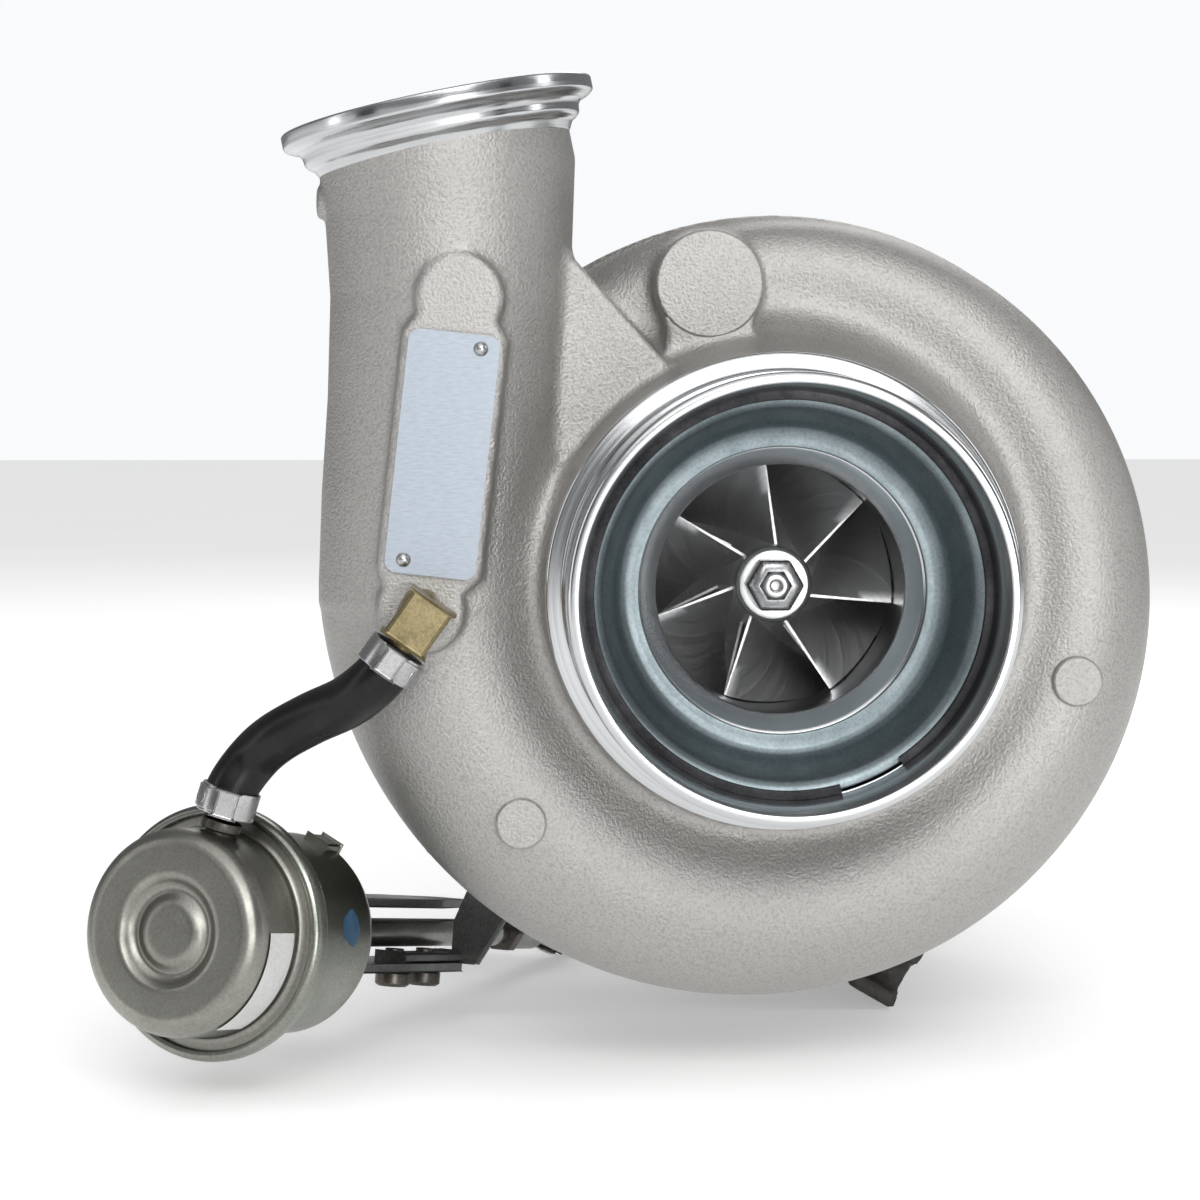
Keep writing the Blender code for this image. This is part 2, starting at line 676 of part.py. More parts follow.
def compressor_backplate(shaft, finish, seal_finish):
    plate = [
        (GAP, 8.0), (GAP, 80.0), (2.4, 80.0), (2.4, 77.5), (5.1, 77.5), (5.1, 80.0),
        (COVER_BACK + GAP, 80.0), (COVER_BACK + GAP, BAND_RIM), (9.0, BAND_RIM), (10.8, BAND_NECK),
        (10.8, 62.0), (PLATE_BACK, 54.0), (PLATE_BACK, 11.8), (13.0, 11.8), (13.0, 8.0),
    ]
    piece("compressor_backplate", turned(plate, COVER_FLATS), finish, shaft)
    seal = [(along + 3.75, radius + 78.8) for along, radius in arc((0, 0), 1.0, 30, 330, 5)]
    piece("backplate_o_ring", turned(seal, COVER_FLATS), seal_finish, shaft)


def bearing_housing(shaft, actuator, finish):
    front = PLATE_BACK + GAP
    body = [
        (front, 0), (front, 52.0), (21.0, 52.0), (23.0, 46.0), (27.0, 37.0), (32.0, 34.0),
        (44.0, 34.0), (50.0, 38.0), (54.0, 47.0), (57.2, TURBINE_NECK), (59.0, TURBINE_RIM),
        (HOUSING_BACK, TURBINE_RIM), (HOUSING_BACK, 0),
    ]
    housing = piece("bearing_housing", turned(body, TURBINE_FLATS), finish, shaft)
    inlet_pad = [(x, z + 37) for x, z in rounded(11, 14, 4, 2)]
    drain_pad = [(x, z + 37) for x, z in rounded(16, 18, 6, 2)]
    add(housing, [
        aimed(prism(inlet_pad, 20.0, 48.0), (0, 0, 0), (0, 0, 1), (-1, 0, 0)),
        aimed(prism(drain_pad, -54.0, -46.0), (0, 0, 0), (0, 0, 1), (-1, 0, 0)),
        aimed(rod(20.0, 47.5, 14.7, 20), (0, 37.0, 0), (0, 0, -1), (1, 0.1, 0)),
    ], shaft, helpers([lug_arm()], actuator))
    bore = [
        (front - 1, 0), (front - 1, 24.3), (19.0, 24.3), (19.0, 12.0), (21.8, 12.0),
        (21.8, HOUSING_BORE), (30.1, HOUSING_BORE), (30.1, 10.6), (31.7, 10.6), (31.7, HOUSING_BORE),
        (33.0, HOUSING_BORE), (33.0, 16.0), (42.5, 16.0), (42.5, HOUSING_BORE), (44.0, HOUSING_BORE),
        (44.0, 10.6), (45.6, 10.6), (45.6, HOUSING_BORE), (54.0, HOUSING_BORE), (54.0, 12.0),
        (57.5, 12.0), (57.5, 8.9), (HOUSING_BACK + 1, 8.9), (HOUSING_BACK + 1, 0),
    ]
    feed = aimed(rod(12, 50, 4.0, 12), (0, 37.0, 0), (0, 0, 1), (1, 0.07, 0))
    drain = aimed(rod(5, 56, 9.4, 16), (0, 37.0, 0), (0, 0, -1), (1, 0.07, 0))
    feed_bolts = [aimed(rod(36, 50, 2.6, 8), (0, 37.0 + y, 0), (0, 0, 1)) for y in (-9.0, 9.0)]
    drain_bolts = [aimed(rod(44, 56, 2.2, 8), (0, 37.0 + y, 0), (0, 0, -1)) for y in (-14.4, 14.4)]
    leg_bolts = [aimed(rod(60, 90, 3.3, 10), (u, 0, v), (0, 1, 0)) for u, v in LEG_BOLTS]
    cuts = [turned(bore, SMALL_FLATS), feed, drain, joined(feed_bolts + drain_bolts)]
    cut(housing, cuts, shaft, helpers(leg_bolts, actuator))


def bearing_parts(shaft, finishes):
    bronze, steel = finishes["bronze"], finishes["dark_steel"]
    piece("journal_bearing_front", ring(22.2, 29.8, JOURNAL_RADIUS + GAP, 9.3, SMALL_FLATS), bronze, shaft)
    piece("journal_bearing_rear", ring(45.9, 53.5, JOURNAL_RADIUS + GAP, 9.3, SMALL_FLATS), bronze, shaft)
    piece("bearing_circlip_front", ring(30.4, 31.4, 8.6, 10.3, SMALL_FLATS), steel, shaft)
    piece("bearing_circlip_rear", ring(44.3, 45.3, 8.6, 10.3, SMALL_FLATS), steel, shaft)
    pad = piece("thrust_bearing", ring(15.85, 18.65, 7.4, 24.0, SMALL_FLATS), bronze, shaft)
    cut(pad, [block((-7.4, 15, 0), (7.4, 20, 30))], shaft)
    piece("oil_baffle", ring(14.5, 15.4, 11.5, 24.0, SMALL_FLATS), steel, shaft)
    shield = [
        (64.6, 10.0), (64.6, 26.0), (67.6, 30.0), (67.6, 42.0), (64.6, 45.0), (64.6, 49.6),
        (65.6, 49.6), (65.6, 45.5), (68.6, 42.6), (68.6, 29.4), (65.6, 25.4), (65.6, 10.0),
    ]
    piece("heat_shield", turned(shield, TURBINE_FLATS), finishes["heat_steel"], shaft)


def lug_arm():
    """The cast arm on the bearing housing that carries the actuator's leg."""
    outline = [(44, 66), (56, 54), (90, 84), (82, 100)]
    return prism(outline, 71.4, 79.5)


# ---------------------------------------------------------------- turbine housing

def turbine_tube_radius(position):
    """Inner radius of the turbine scroll at an angular position in degrees."""
    return 9.0 + 12.0 * (position + 60.0) / 297.0


def turbine_station(position, wall):
    angle = math.radians(position)
    outward = Vector((math.cos(angle), 0.0, math.sin(angle)))
    radius = turbine_tube_radius(position)
    centre = outward * (41.0 + radius)
    centre.y = SCROLL_FRONT + 4.0 + radius
    return centre, outward, Vector((0.0, 1.0, 0.0)), radius + wall, radius + wall


def inlet_point(along, side, y):
    """A point given by its reach along the inlet flange's normal and its place across it."""
    point = INLET_NORMAL * along + INLET_SIDE * side
    point.y = y
    return point


def neck_stations(wall):
    """The inlet neck, from the flange to the widest part of the turbine scroll."""
    stations = []
    start, end = INLET_REACH - 8.0, -3.0
    for step in range(6):
        share = step / 5
        ease = share * share * (3 - 2 * share)
        side = INLET_DROP - 17.0 * ease
        centre = inlet_point(start + (end - start) * share, side, INLET_MIDDLE)
        across = 29.0 + (21.0 - 29.0) * ease + wall
        deep = 46.0 + (21.0 - 46.0) * ease ** 0.8 + wall
        stations.append((centre, INLET_SIDE, Vector((0.0, 1.0, 0.0)), across, deep))
    return stations


def port_cutters():
    """The two gas ports side by side, which meet behind the divider."""
    cutters = []
    for side in (-1, 1):
        stations = []
        for reach, offset, across, deep in ((101, 25.5, 25, 21.5), (88, 25.0, 24, 21), (50, 16.5, 21, 14)):
            centre = inlet_point(reach, INLET_DROP - (97 - reach) * 0.08, INLET_MIDDLE + side * offset)
            stations.append((centre, INLET_SIDE, Vector((0.0, 1.0, 0.0)), across, deep))
        cutters.append(tube(stations, 12))
    common = [(60, -49.5, 20, 29), (40, -53.5, 20, 27), (15, -59.5, 20, 22), (-6, -62.5, 20, 20)]
    stations = [
        (inlet_point(reach, side, INLET_MIDDLE), INLET_SIDE, Vector((0.0, 1.0, 0.0)), across, deep)
        for reach, side, across, deep in common
    ]
    return cutters + [tube(stations, 13)]


def flange_block(margin, back, front):
    """The inlet flange's rounded rectangle, between two depths behind its face."""
    outline = rounded(INLET_HALF_WIDTH + margin, INLET_HALF_LENGTH + margin, 9.0, 3)
    centre = inlet_point(INLET_REACH, INLET_DROP, INLET_MIDDLE)
    return aimed(prism(outline, -back, -front), centre, INLET_NORMAL, INLET_SIDE)


def turbine_housing(shaft, pivot, finish):
    body = [
        (HOUSING_BACK + GAP, 0), (HOUSING_BACK + GAP, TURBINE_RIM), (69.3, TURBINE_RIM),
        (71.1, TURBINE_NECK), (73.0, 52.5), (78.0, 56.0), (117.0, 61.0), (121.0, 68.0),
        (149.0, 68.0), (159.0, 53.0), (164.0, 46.5), (171.0, 46.5), (173.0, 52.0),
        (OUTLET_BACK, 52.0), (OUTLET_BACK, 0),
    ]
    housing = piece("turbine_housing", tube(neck_stations(4.5), 13), finish, shaft)
    cut(housing, [rod(40.0, 72.8, 60.5, TURBINE_FLATS)], shaft)
    positions = list(range(237, -50, -22)) + [-53]
    scroll = tube([turbine_station(position, 4.0) for position in positions], 11)
    flap = flap_place()
    outside = [turned(body, TURBINE_FLATS), scroll, flange_block(0, INLET_THICKNESS, 0)]
    add(housing, outside, shaft, helpers([rod(12.5, 84.0, 15.5, 14)], pivot))
    bore = [
        (HOUSING_BACK - 1, 0), (HOUSING_BACK - 1, 50.3), (66.8, 50.3), (69.0, 46.0), (83.0, 46.0),
        (83.0, 38.7), (88.0, 37.3), (93.0, 34.0), (98.0, 32.0), (106.0, 31.7), (123.5, 35.0),
        (123.5, 64.0), (147.0, 64.0), (158.0, 47.0), (163.0, 42.0), (OUTLET_BACK + 3, 42.0),
        (OUTLET_BACK + 3, 0),
    ]
    inner = tube([turbine_station(position, 0.0) for position in positions[:-1]], 10)
    bolt_holes = []
    for across in (-31.0, 31.0):
        for along in (-51.5, 51.5):
            centre = inlet_point(INLET_REACH, INLET_DROP + across, INLET_MIDDLE + along)
            bolt_holes.append(aimed(rod(-17, 3, 4.8, 12), centre, INLET_NORMAL))
    wastegate_port = aimed(rod(104.0, 127.0, 10.5, 16), (flap.x, 0, flap.z), (0, 1, 0))
    inside = [turned(bore, TURBINE_FLATS), inner, wastegate_port] + port_cutters() + bolt_holes
    cut(housing, inside, shaft, helpers([rod(8.0, 76.0, 7.0), rod(72.5, 92.0, 11.0, 20)], pivot))


# ---------------------------------------------------------------- wastegate lever

def pivot_axis():
    return unit(PIVOT_GUESS - ROD_AXIS * ROD_AXIS.dot(PIVOT_GUESS))


def lever_rest_direction():
    """From the pivot to the pin: half the swing short of square to the rod."""
    square = ROD_AXIS.cross(pivot_axis())
    return square * math.cos(HALF_SWING) - ROD_AXIS * math.sin(HALF_SWING)


def pin_place():
    return CAN_REAR + ROD_AXIS * ROD_PIN_REACH


def pivot_place():
    return pin_place() - lever_rest_direction() * LEVER_ARM


def flap_place():
    """The middle of the flap's arm over the valve, inside the turbine housing."""
    return pivot_place() + pivot_axis() * FLAP_REACH + lever_rest_direction() * FLAP_ARM


def seen_from_pivot(vector):
    """A direction or offset in the pivot's own directions."""
    ahead = lever_rest_direction()
    up = pivot_axis()
    vector = Vector(vector)
    return Vector((vector.dot(ahead), vector.dot(up), vector.dot(ahead.cross(up))))


def bar(length, start_half, end_half, low, high):
    """A tapered bar with round ends along +X, thick along Y."""
    outline = arc((0, 0), start_half, 90, 270, 8) + arc((length, 0), end_half, -90, 90, 8)
    return prism(outline, low, high)


def wastegate(shaft, pivot, finishes):
    steel, heat = finishes["dark_steel"], finishes["heat_steel"]
    lever = piece("wastegate_lever", bar(LEVER_ARM, 8.5, 6.5, 3.6, 8.6), steel, pivot)
    cut(lever, [joined([rod(2, 10, 4.3), moved(rod(2, 10, 3.5), (LEVER_ARM, 0, 0))])], pivot)
    piece("wastegate_shaft", rod(2.2, FLAP_REACH + 6.5, 4.0), heat, pivot)
    bush = [(10.3, 4.35), (10.3, 9.0), (12.2, 9.0), (12.2, 6.7), (66.0, 6.7), (66.0, 4.35)]
    piece("wastegate_bush", turned(bush, SMALL_FLATS), finishes["bronze"], pivot)
    pin = [(-5.8, 0), (-5.8, 3.2), (-5.0, 3.2), (-5.0, 2.4), (-3.9, 2.4), (-3.9, 3.2), (9.4, 3.2), (9.4, 0)]
    piece("lever_pin", moved(turned(pin, SMALL_FLATS), (LEVER_ARM, 0, 0)), finishes["machined_steel"], pivot)
    clip = piece("rod_clip", moved(ring(-4.8, -4.1, 2.7, 5.6, SMALL_FLATS), (LEVER_ARM, 0, 0)), steel, pivot)
    cut(clip, [block((LEVER_ARM, -6, -1.8), (LEVER_ARM + 8, -3, 1.8))], pivot)
    flap = flap_place()
    arm = piece("wastegate_arm", moved(bar(FLAP_ARM, 7.2, 6.8, -6.5, 6.5), (0, FLAP_REACH, 0)), heat, pivot)
    add(arm, [moved(rod(-8.0, 8.0, 8.4), (0, FLAP_REACH, 0))], pivot)
    shave = block((flap.x - 20, 100, flap.z - 20), (flap.x + 20, 129.2, flap.z + 20))
    stem_hole = aimed(rod(100, 150, 3.8, 12), (flap.x, 0, flap.z), (0, 1, 0))
    cut(arm, [shave, stem_hole], shaft, helpers([moved(rod(-9, 9, 4.3), (0, FLAP_REACH, 0))], pivot))
    valve = [(123.9, 0), (123.9, 13.2), (127.0, 13.6), (128.2, 12.6), (128.9, 6.0), (128.9, 3.4)]
    valve += [(139.0, 3.4), (139.0, 0)]
    foot = seen_from_pivot(Vector((flap.x, 0, flap.z)) - pivot_place())
    piece("wastegate_valve", aimed(turned(valve, SMALL_FLATS), foot, seen_from_pivot((0, 1, 0))), heat, pivot)


# ---------------------------------------------------------------- actuator

def actuator_shells(actuator, finish):
    front, edge = CAP_FRONT, CAN_RADIUS
    outer = (
        [(front + 1.0, 0), (front + 1.0, 7.4), (front + 2.6, 9.0), (front + 2.6, 11.0), (front, 13.0)]
        + [(front, 20.0), (front + 1.6, 23.6), (front + 4.8, edge), (-38.4, edge), (-38.1, 29.3)]
    )
    inner = [
        (-36.9, 29.3), (-36.9, edge - 1.2), (front + 5.2, edge - 1.2), (front + 2.5, 22.6),
        (front + 1.3, 20.0), (front + 1.3, 13.6), (front + 3.9, 11.6), (front + 3.9, 8.4),
        (front + 2.3, 6.8), (front + 2.3, 0),
    ]
    cap = piece("actuator_cap", turned(outer + inner, MEDIUM_FLATS), finish, actuator)
    cut(cap, [nipple_shape([(-10.0, 0), (-10.0, 3.6), (8.0, 3.6), (8.0, 0)], 16)], actuator)
    can = [
        (-39.6, 28.2), (-39.6, 29.8), (-38.2, CRIMP_RADIUS), (-34.8, CRIMP_RADIUS), (-33.4, 29.4),
        (-33.4, edge), (-4.5, edge), (-1.2, 23.2), (0.0, 20.0), (0.0, 5.3), (-1.3, 5.3),
        (-1.3, 19.6), (-2.4, 22.3), (-5.2, 23.8), (-34.8, 23.8), (-34.8, 29.7), (-38.5, 29.7),
        (-38.5, 28.2),
    ]
    rear = piece("actuator_can", turned(can, MEDIUM_FLATS), finish, actuator)
    studs = [aimed(rod(-0.9, 10.0, 2.7, 10), (u, 0, v), (0, 1, 0)) for u, v in STUD_PLACES]
    add(rear, [joined(studs)], actuator)


def nipple_shape(profile, segments=20):
    """A profile turned around the nipple's own axis, which stands square on the cap."""
    return aimed(turned(profile, segments), NIPPLE_FOOT, NIPPLE_UP)


def actuator_inside(actuator, finishes):
    """Diaphragm, spring, spring cup, rod and its guide."""
    rubber, steel = finishes["rubber"], finishes["dark_steel"]
    sheet = [
        (-36.6, 29.1), (-36.6, 23.4), (-34.4, 21.8), (-36.4, 19.8), (-36.4, 0), (-35.4, 0),
        (-35.4, 19.7), (-33.2, 21.9), (-35.4, 23.6), (-35.4, 29.1),
    ]
    piece("diaphragm", turned(sheet, MEDIUM_FLATS), rubber, actuator)
    cup = [
        (-35.1, 0), (-35.1, 18.6), (-24.0, 19.4), (-24.0, 18.2), (-33.6, 17.4), (-33.6, 4.2),
        (-31.6, 4.2), (-31.6, 0),
    ]
    piece("spring_cup", turned(cup, MEDIUM_FLATS), steel, actuator)
    turns, steps, wire, coil = 4.5, 11, 1.3, 14.6
    path = []
    for step in range(int(turns * steps) + 1):
        angle = 2 * math.pi * step / steps
        rise = step / (turns * steps)
        path.append((coil * math.cos(angle), -31.9 + 28.8 * rise, coil * math.sin(angle)))
    piece("actuator_spring", along_path(path, wire, 5), finishes["machined_steel"], actuator)
    rod_line = [
        (-31.3, 0), (-31.3, ROD_RADIUS), (112.0, ROD_RADIUS), (113.4, 2.9), (131.0, 2.9), (131.0, 0),
    ]
    piece("actuator_rod", turned(rod_line, SMALL_FLATS), finishes["machined_steel"], actuator)
    guide = [
        (-3.0, ROD_RADIUS + GAP), (-3.0, 8.0), (-1.6, 8.0), (-1.6, 5.0), (3.6, 5.0),
        (3.6, ROD_RADIUS + GAP),
    ]
    piece("rod_guide", turned(guide, SMALL_FLATS), finishes["bronze"], actuator)
    locknut = [(117.0, 3.7), (117.0, 5.8), (121.0, 5.8), (121.0, 3.7)]
    piece("rod_locknut", turned(locknut, 6), steel, actuator)


def rod_end(actuator, finishes):
    """The eye on the rod, which the lever's pin runs through with play."""
    reach = ROD_PIN_REACH
    axis = Vector((pivot_axis().dot(ROD_SIDE), 0.0, pivot_axis().dot(ROD_UP)))
    shank = [(121.5, 0), (121.5, 4.8), (136.0, 4.8), (144.0, 2.6), (144.0, 0)]
    end = piece("rod_end", turned(shank, SMALL_FLATS), finishes["machined_steel"], actuator)
    add(end, [aimed(rod(-3.0, 3.0, 8.2), (0, reach, 0), axis, (0.1, 1, 0))], actuator)
    eye = aimed(rod(-5, 5, 3.2 + 0.7), (0, reach, 0), axis, (0.2, 1, 0))
    cut(end, [eye, rod(118, 133.0, 3.2)], actuator)


def bracket(actuator, finishes):
    """The channel around the rod, the leg up to the bearing housing and all that holds them."""
    steel, dark = finishes["bracket_steel"], finishes["dark_steel"]
    high, low, thick = 7.2, -9.6, 2.4
    back = [(-22, -9.6), (10, -9.6), (10, 9.6), (-22, 9.6)]
    channel = piece("actuator_bracket", prism(back, GAP, GAP + 2.6), steel, actuator)
    upper = [(-9.4, 1.0), (10, 1.0), (10, 60.0), (4, 84.0), (-4, 84.0), (-9.4, 60.0)]
    lower = [(-9.4, 1.0), (10, 1.0), (12.5, 30.0), (12.5, 70.0), (4, 84.0), (-4, 84.0), (-9.4, 60.0)]
    arms = []
    for outline, level in ((upper, high), (lower, low)):
        points, faces = prism(outline, level, level + thick)
        arms.append(([(x, z, y) for x, y, z in points], faces))
    add(channel, arms, actuator)
    holes = [aimed(rod(-2, 6, 3.3, 10), (u, 0, v), (0, 1, 0)) for u, v in STUD_PLACES]
    holes += [aimed(rod(low - 2, low + 4, 2.8, 10), (7.2, y, 0), (0, 0, 1)) for y in BRACKET_SCREWS]
    cut(channel, [rod(-2, 6, 5.3), joined(holes)], actuator)
    for name, (u, v) in zip(("actuator_nut_upper", "actuator_nut_lower"), STUD_PLACES):
        nut = [(3.3, 3.4), (3.3, 5.6), (7.9, 5.6), (7.9, 3.4)]
        piece(name, aimed(turned(nut, 6), (u, 0, v), (0, 1, 0)), dark, actuator)
    leg_outline = [
        (5.0, -6.9), (17.0, -6.9), (27.0, 10.0), (68.0, 71.0), (60.0, 78.8), (51.0, 77.0),
        (43.0, 62.0), (14.5, 14.0), (10.5, 4.0), (10.5, -4.4), (5.0, -4.4),
    ]
    leg = piece("bracket_leg", prism(leg_outline, 68.0, 71.0), steel, actuator)
    add(leg, [block((4.6, 36.0, -6.9), (13.0, 69.0, -4.5))], actuator)
    leg_holes = [aimed(rod(66, 73, 3.3, 10), (u, 0, v), (0, 1, 0)) for u, v in LEG_BOLTS]
    leg_holes += [aimed(rod(-9, -3, 2.8, 10), (7.2, y, 0), (0, 0, 1)) for y in BRACKET_SCREWS]
    cut(leg, [joined(leg_holes)], actuator)
    for name, (u, v) in zip(("leg_bolt_lower", "leg_bolt_upper"), LEG_BOLTS):
        bolt = [(62.6, 0), (62.6, 5.4), (67.7, 5.4), (67.7, 3.0), (79.0, 3.0), (79.0, 0)]
        piece(name, aimed(turned(bolt, 12), (u, 0, v), (0, 1, 0)), dark, actuator)
    for name, y in zip(("bracket_screw_front", "bracket_screw_rear"), BRACKET_SCREWS):
        screw = [(-13.6, 0), (-12.9, 4.6), (low - GAP, 4.6), (low - GAP, 2.5), (-3.6, 2.5), (-3.6, 0)]
        piece(name, aimed(turned(screw, 10), (7.2, y, 0), (0, 0, 1)), dark, actuator)


# ---------------------------------------------------------------- boost hose

def nipple_point(distance):
    """A point up the nipple's axis, in the shaft's directions."""
    local = NIPPLE_FOOT + NIPPLE_UP.normalized() * distance
    return CAN_REAR + ROD_SIDE * local.x + ROD_AXIS * local.y + ROD_UP * local.z


def hose_points():
    """The hose's whole route, down to the collar of the nipple."""
    return [Vector(point) for point in HOSE_ROUTE] + [nipple_point(HOSE_END + 7), nipple_point(HOSE_END)]


def hose_group(shaft, actuator, finishes):
    brass, rubber, steel = finishes["brass"], finishes["rubber"], finishes["clamp_steel"]
    outlet = unit((-0.58, 0.0, -0.82))
    centre = Vector((-84.8, -68.0, -6.6))
    body = block((-5.4, -6.4, -5.4), (5.4, 6.0, 5.4))
    elbow = piece("elbow_fitting", aimed(body, centre, outlet, (-0.82, 0, 0.58)), brass, shaft)
    stem = aimed(rod(-70.0, -56.0, 2.6, 10), (LAND_BOTTOM[0], 0, LAND_BOTTOM[1]), (0, 1, 0))
    collar = aimed(rod(-63.6, LAND_FRONT - GAP, 5.6, 6), (LAND_BOTTOM[0], 0, LAND_BOTTOM[1]), (0, 1, 0))
    points = hose_points()
    barb = aimed(rod(4.0, 11.0, 2.8, 10), centre, points[1] - points[0])
    add(elbow, [stem, collar, barb], shaft)
    route = smooth_route(points, 2)
    hose = piece("boost_hose", along_path(route, HOSE_RADIUS, 8), rubber, shaft)
    cut(hose, [along_path(route_past_ends(route), 3.6, 8)], shaft)
    for name, first, second in (("hose_clamp_upper", 0, 1), ("hose_clamp_lower", -1, -2)):
        way = unit(points[second] - points[first])
        place = points[first] + way * 3.6
        band = ring(-2.8, 2.8, HOSE_RADIUS + 0.6, HOSE_RADIUS + 1.3, SMALL_FLATS)
        clamp = piece(name, aimed(band, place, way, (0, -1, 0)), steel, shaft)
        ear = block((HOSE_RADIUS + 0.75, -2.5, -2.6), (HOSE_RADIUS + 3.0, 2.5, 2.6))
        add(clamp, [aimed(ear, place, way, (0, -1, 0))], shaft)
    nipple = [
        (-3.4, 2.0), (-3.4, 3.2), (0.5, 3.2), (0.5, 4.6), (2.6, 4.6), (3.4, 3.1), (12.0, 3.1), (12.0, 2.0),
    ]
    piece("hose_nipple", nipple_shape(nipple), finishes["dark_steel"], actuator)


def route_past_ends(route):
    """The hose's centre line, drawn out a little past both ends."""
    first = route[0] + (route[0] - route[1])
    last = route[-1] + (route[-1] - route[-2])
    return [first] + route + [last]


# ---------------------------------------------------------------- the whole object

def finishes():
    return {
        "cast_aluminium": look("cast_aluminium", (0.56, 0.55, 0.53), 0.5),
        "plate_aluminium": look("plate_aluminium", (0.55, 0.60, 0.66), 0.35),
        "wheel_aluminium": look("wheel_aluminium", (0.30, 0.31, 0.32), 0.3),
        "zinc_plate": look("zinc_plate", (0.50, 0.58, 0.60), 0.35),
        "yellow_zinc": look("yellow_zinc", (0.52, 0.50, 0.41), 0.3),
        "machined_steel": look("machined_steel", (0.62, 0.62, 0.60), 0.3),
        "dark_steel": look("dark_steel", (0.10, 0.10, 0.10), 0.4),
        "clamp_steel": look("clamp_steel", (0.68, 0.68, 0.67), 0.28),
        "bracket_steel": look("bracket_steel", (0.22, 0.22, 0.22), 0.45),
        "heat_steel": look("heat_steel", (0.30, 0.27, 0.24), 0.5),
        "cast_iron": look("cast_iron", (0.10, 0.10, 0.10), 0.7),
        "turbine_alloy": look("turbine_alloy", (0.36, 0.34, 0.31), 0.4),
        "bronze": look("bronze", (0.62, 0.42, 0.20), 0.35),
        "brass": look("brass", (0.60, 0.46, 0.22), 0.4),
        "rubber": look("rubber", (0.02, 0.02, 0.02), 0.5, 0.0),
    }


def build():
    start_clean()
    made = finishes()
    flange_face = inlet_point(INLET_REACH, INLET_DROP, INLET_MIDDLE)
    shaft = frame_at("shaft_centre", -flange_face, (0, 1, 0), (1, 0, 0))
    actuator = frame_at("actuator_axis", CAN_REAR, ROD_AXIS, ROD_SIDE, shaft)
    pivot = frame_at("wastegate_pivot", pivot_place(), pivot_axis(), lever_rest_direction(), shaft)
    compressor_cover(shaft, made["cast_aluminium"])
    inlet_baffle(shaft, made["zinc_plate"])
    inlet_snap_ring(shaft, made["dark_steel"])
    nameplate(shaft, made["plate_aluminium"], made["clamp_steel"])
    v_band("compressor", 1.25, 10.8, BAND_NECK, BAND_RIM, -70, COVER_FLATS, made["dark_steel"], shaft)
    v_band("turbine", 57.2, 71.1, TURBINE_NECK, TURBINE_RIM, 160, TURBINE_FLATS, made["heat_steel"], shaft)
    rotor(shaft, made)
    compressor_backplate(shaft, made["cast_iron"], made["rubber"])
    bearing_housing(shaft, actuator, made["cast_iron"])
    bearing_parts(shaft, made)
    turbine_housing(shaft, pivot, made["cast_iron"])
    wastegate(shaft, pivot, made)
    actuator_shells(actuator, made["yellow_zinc"])
    actuator_inside(actuator, made)
    rod_end(actuator, made)
    bracket(actuator, made)
    hose_group(shaft, actuator, made)


build()
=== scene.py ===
"""Looks of the turbocharger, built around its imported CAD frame.

Shapes are written in millimetres, in the shaft's directions: the shaft runs along Y, the
compressor inlet faces -Y, Z is up, and Y is 0 at the back of the compressor wheel. Castings are
distance fields that are meshed as one skin, and machined pieces are turned profiles.
"""

import json
import math

import bpy
import numpy as np
import openvdb
from mathutils import Matrix, Vector

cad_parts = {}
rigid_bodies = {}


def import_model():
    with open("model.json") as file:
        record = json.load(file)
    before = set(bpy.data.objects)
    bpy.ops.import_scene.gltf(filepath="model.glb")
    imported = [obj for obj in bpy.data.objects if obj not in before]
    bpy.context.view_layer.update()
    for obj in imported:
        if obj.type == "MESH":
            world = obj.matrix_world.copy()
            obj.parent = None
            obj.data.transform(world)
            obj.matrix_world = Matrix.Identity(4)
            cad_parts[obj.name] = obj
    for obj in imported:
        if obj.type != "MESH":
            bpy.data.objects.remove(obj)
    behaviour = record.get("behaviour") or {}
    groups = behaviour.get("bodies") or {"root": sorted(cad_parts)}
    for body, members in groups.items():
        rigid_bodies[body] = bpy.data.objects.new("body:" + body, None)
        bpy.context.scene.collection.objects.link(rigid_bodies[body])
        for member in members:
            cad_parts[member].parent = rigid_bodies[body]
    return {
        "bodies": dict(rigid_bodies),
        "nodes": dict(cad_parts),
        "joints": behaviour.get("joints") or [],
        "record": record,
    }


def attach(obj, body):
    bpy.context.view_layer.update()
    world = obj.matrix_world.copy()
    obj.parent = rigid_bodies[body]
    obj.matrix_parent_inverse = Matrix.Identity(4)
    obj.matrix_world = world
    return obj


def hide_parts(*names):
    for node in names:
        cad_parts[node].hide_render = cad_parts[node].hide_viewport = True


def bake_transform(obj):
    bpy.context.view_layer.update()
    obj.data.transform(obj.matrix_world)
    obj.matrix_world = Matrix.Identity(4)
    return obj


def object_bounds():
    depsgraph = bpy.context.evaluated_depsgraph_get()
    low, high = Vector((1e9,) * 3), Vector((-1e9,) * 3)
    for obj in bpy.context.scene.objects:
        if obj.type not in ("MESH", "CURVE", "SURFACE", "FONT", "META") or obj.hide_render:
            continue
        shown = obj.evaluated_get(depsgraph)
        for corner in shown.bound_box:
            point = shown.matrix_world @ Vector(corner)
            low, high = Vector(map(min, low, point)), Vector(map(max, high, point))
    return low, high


LOOKS = {}
MM = 0.001
CAST_STEP = 1.0
ROUND = 144
SMALL_ROUND = 48

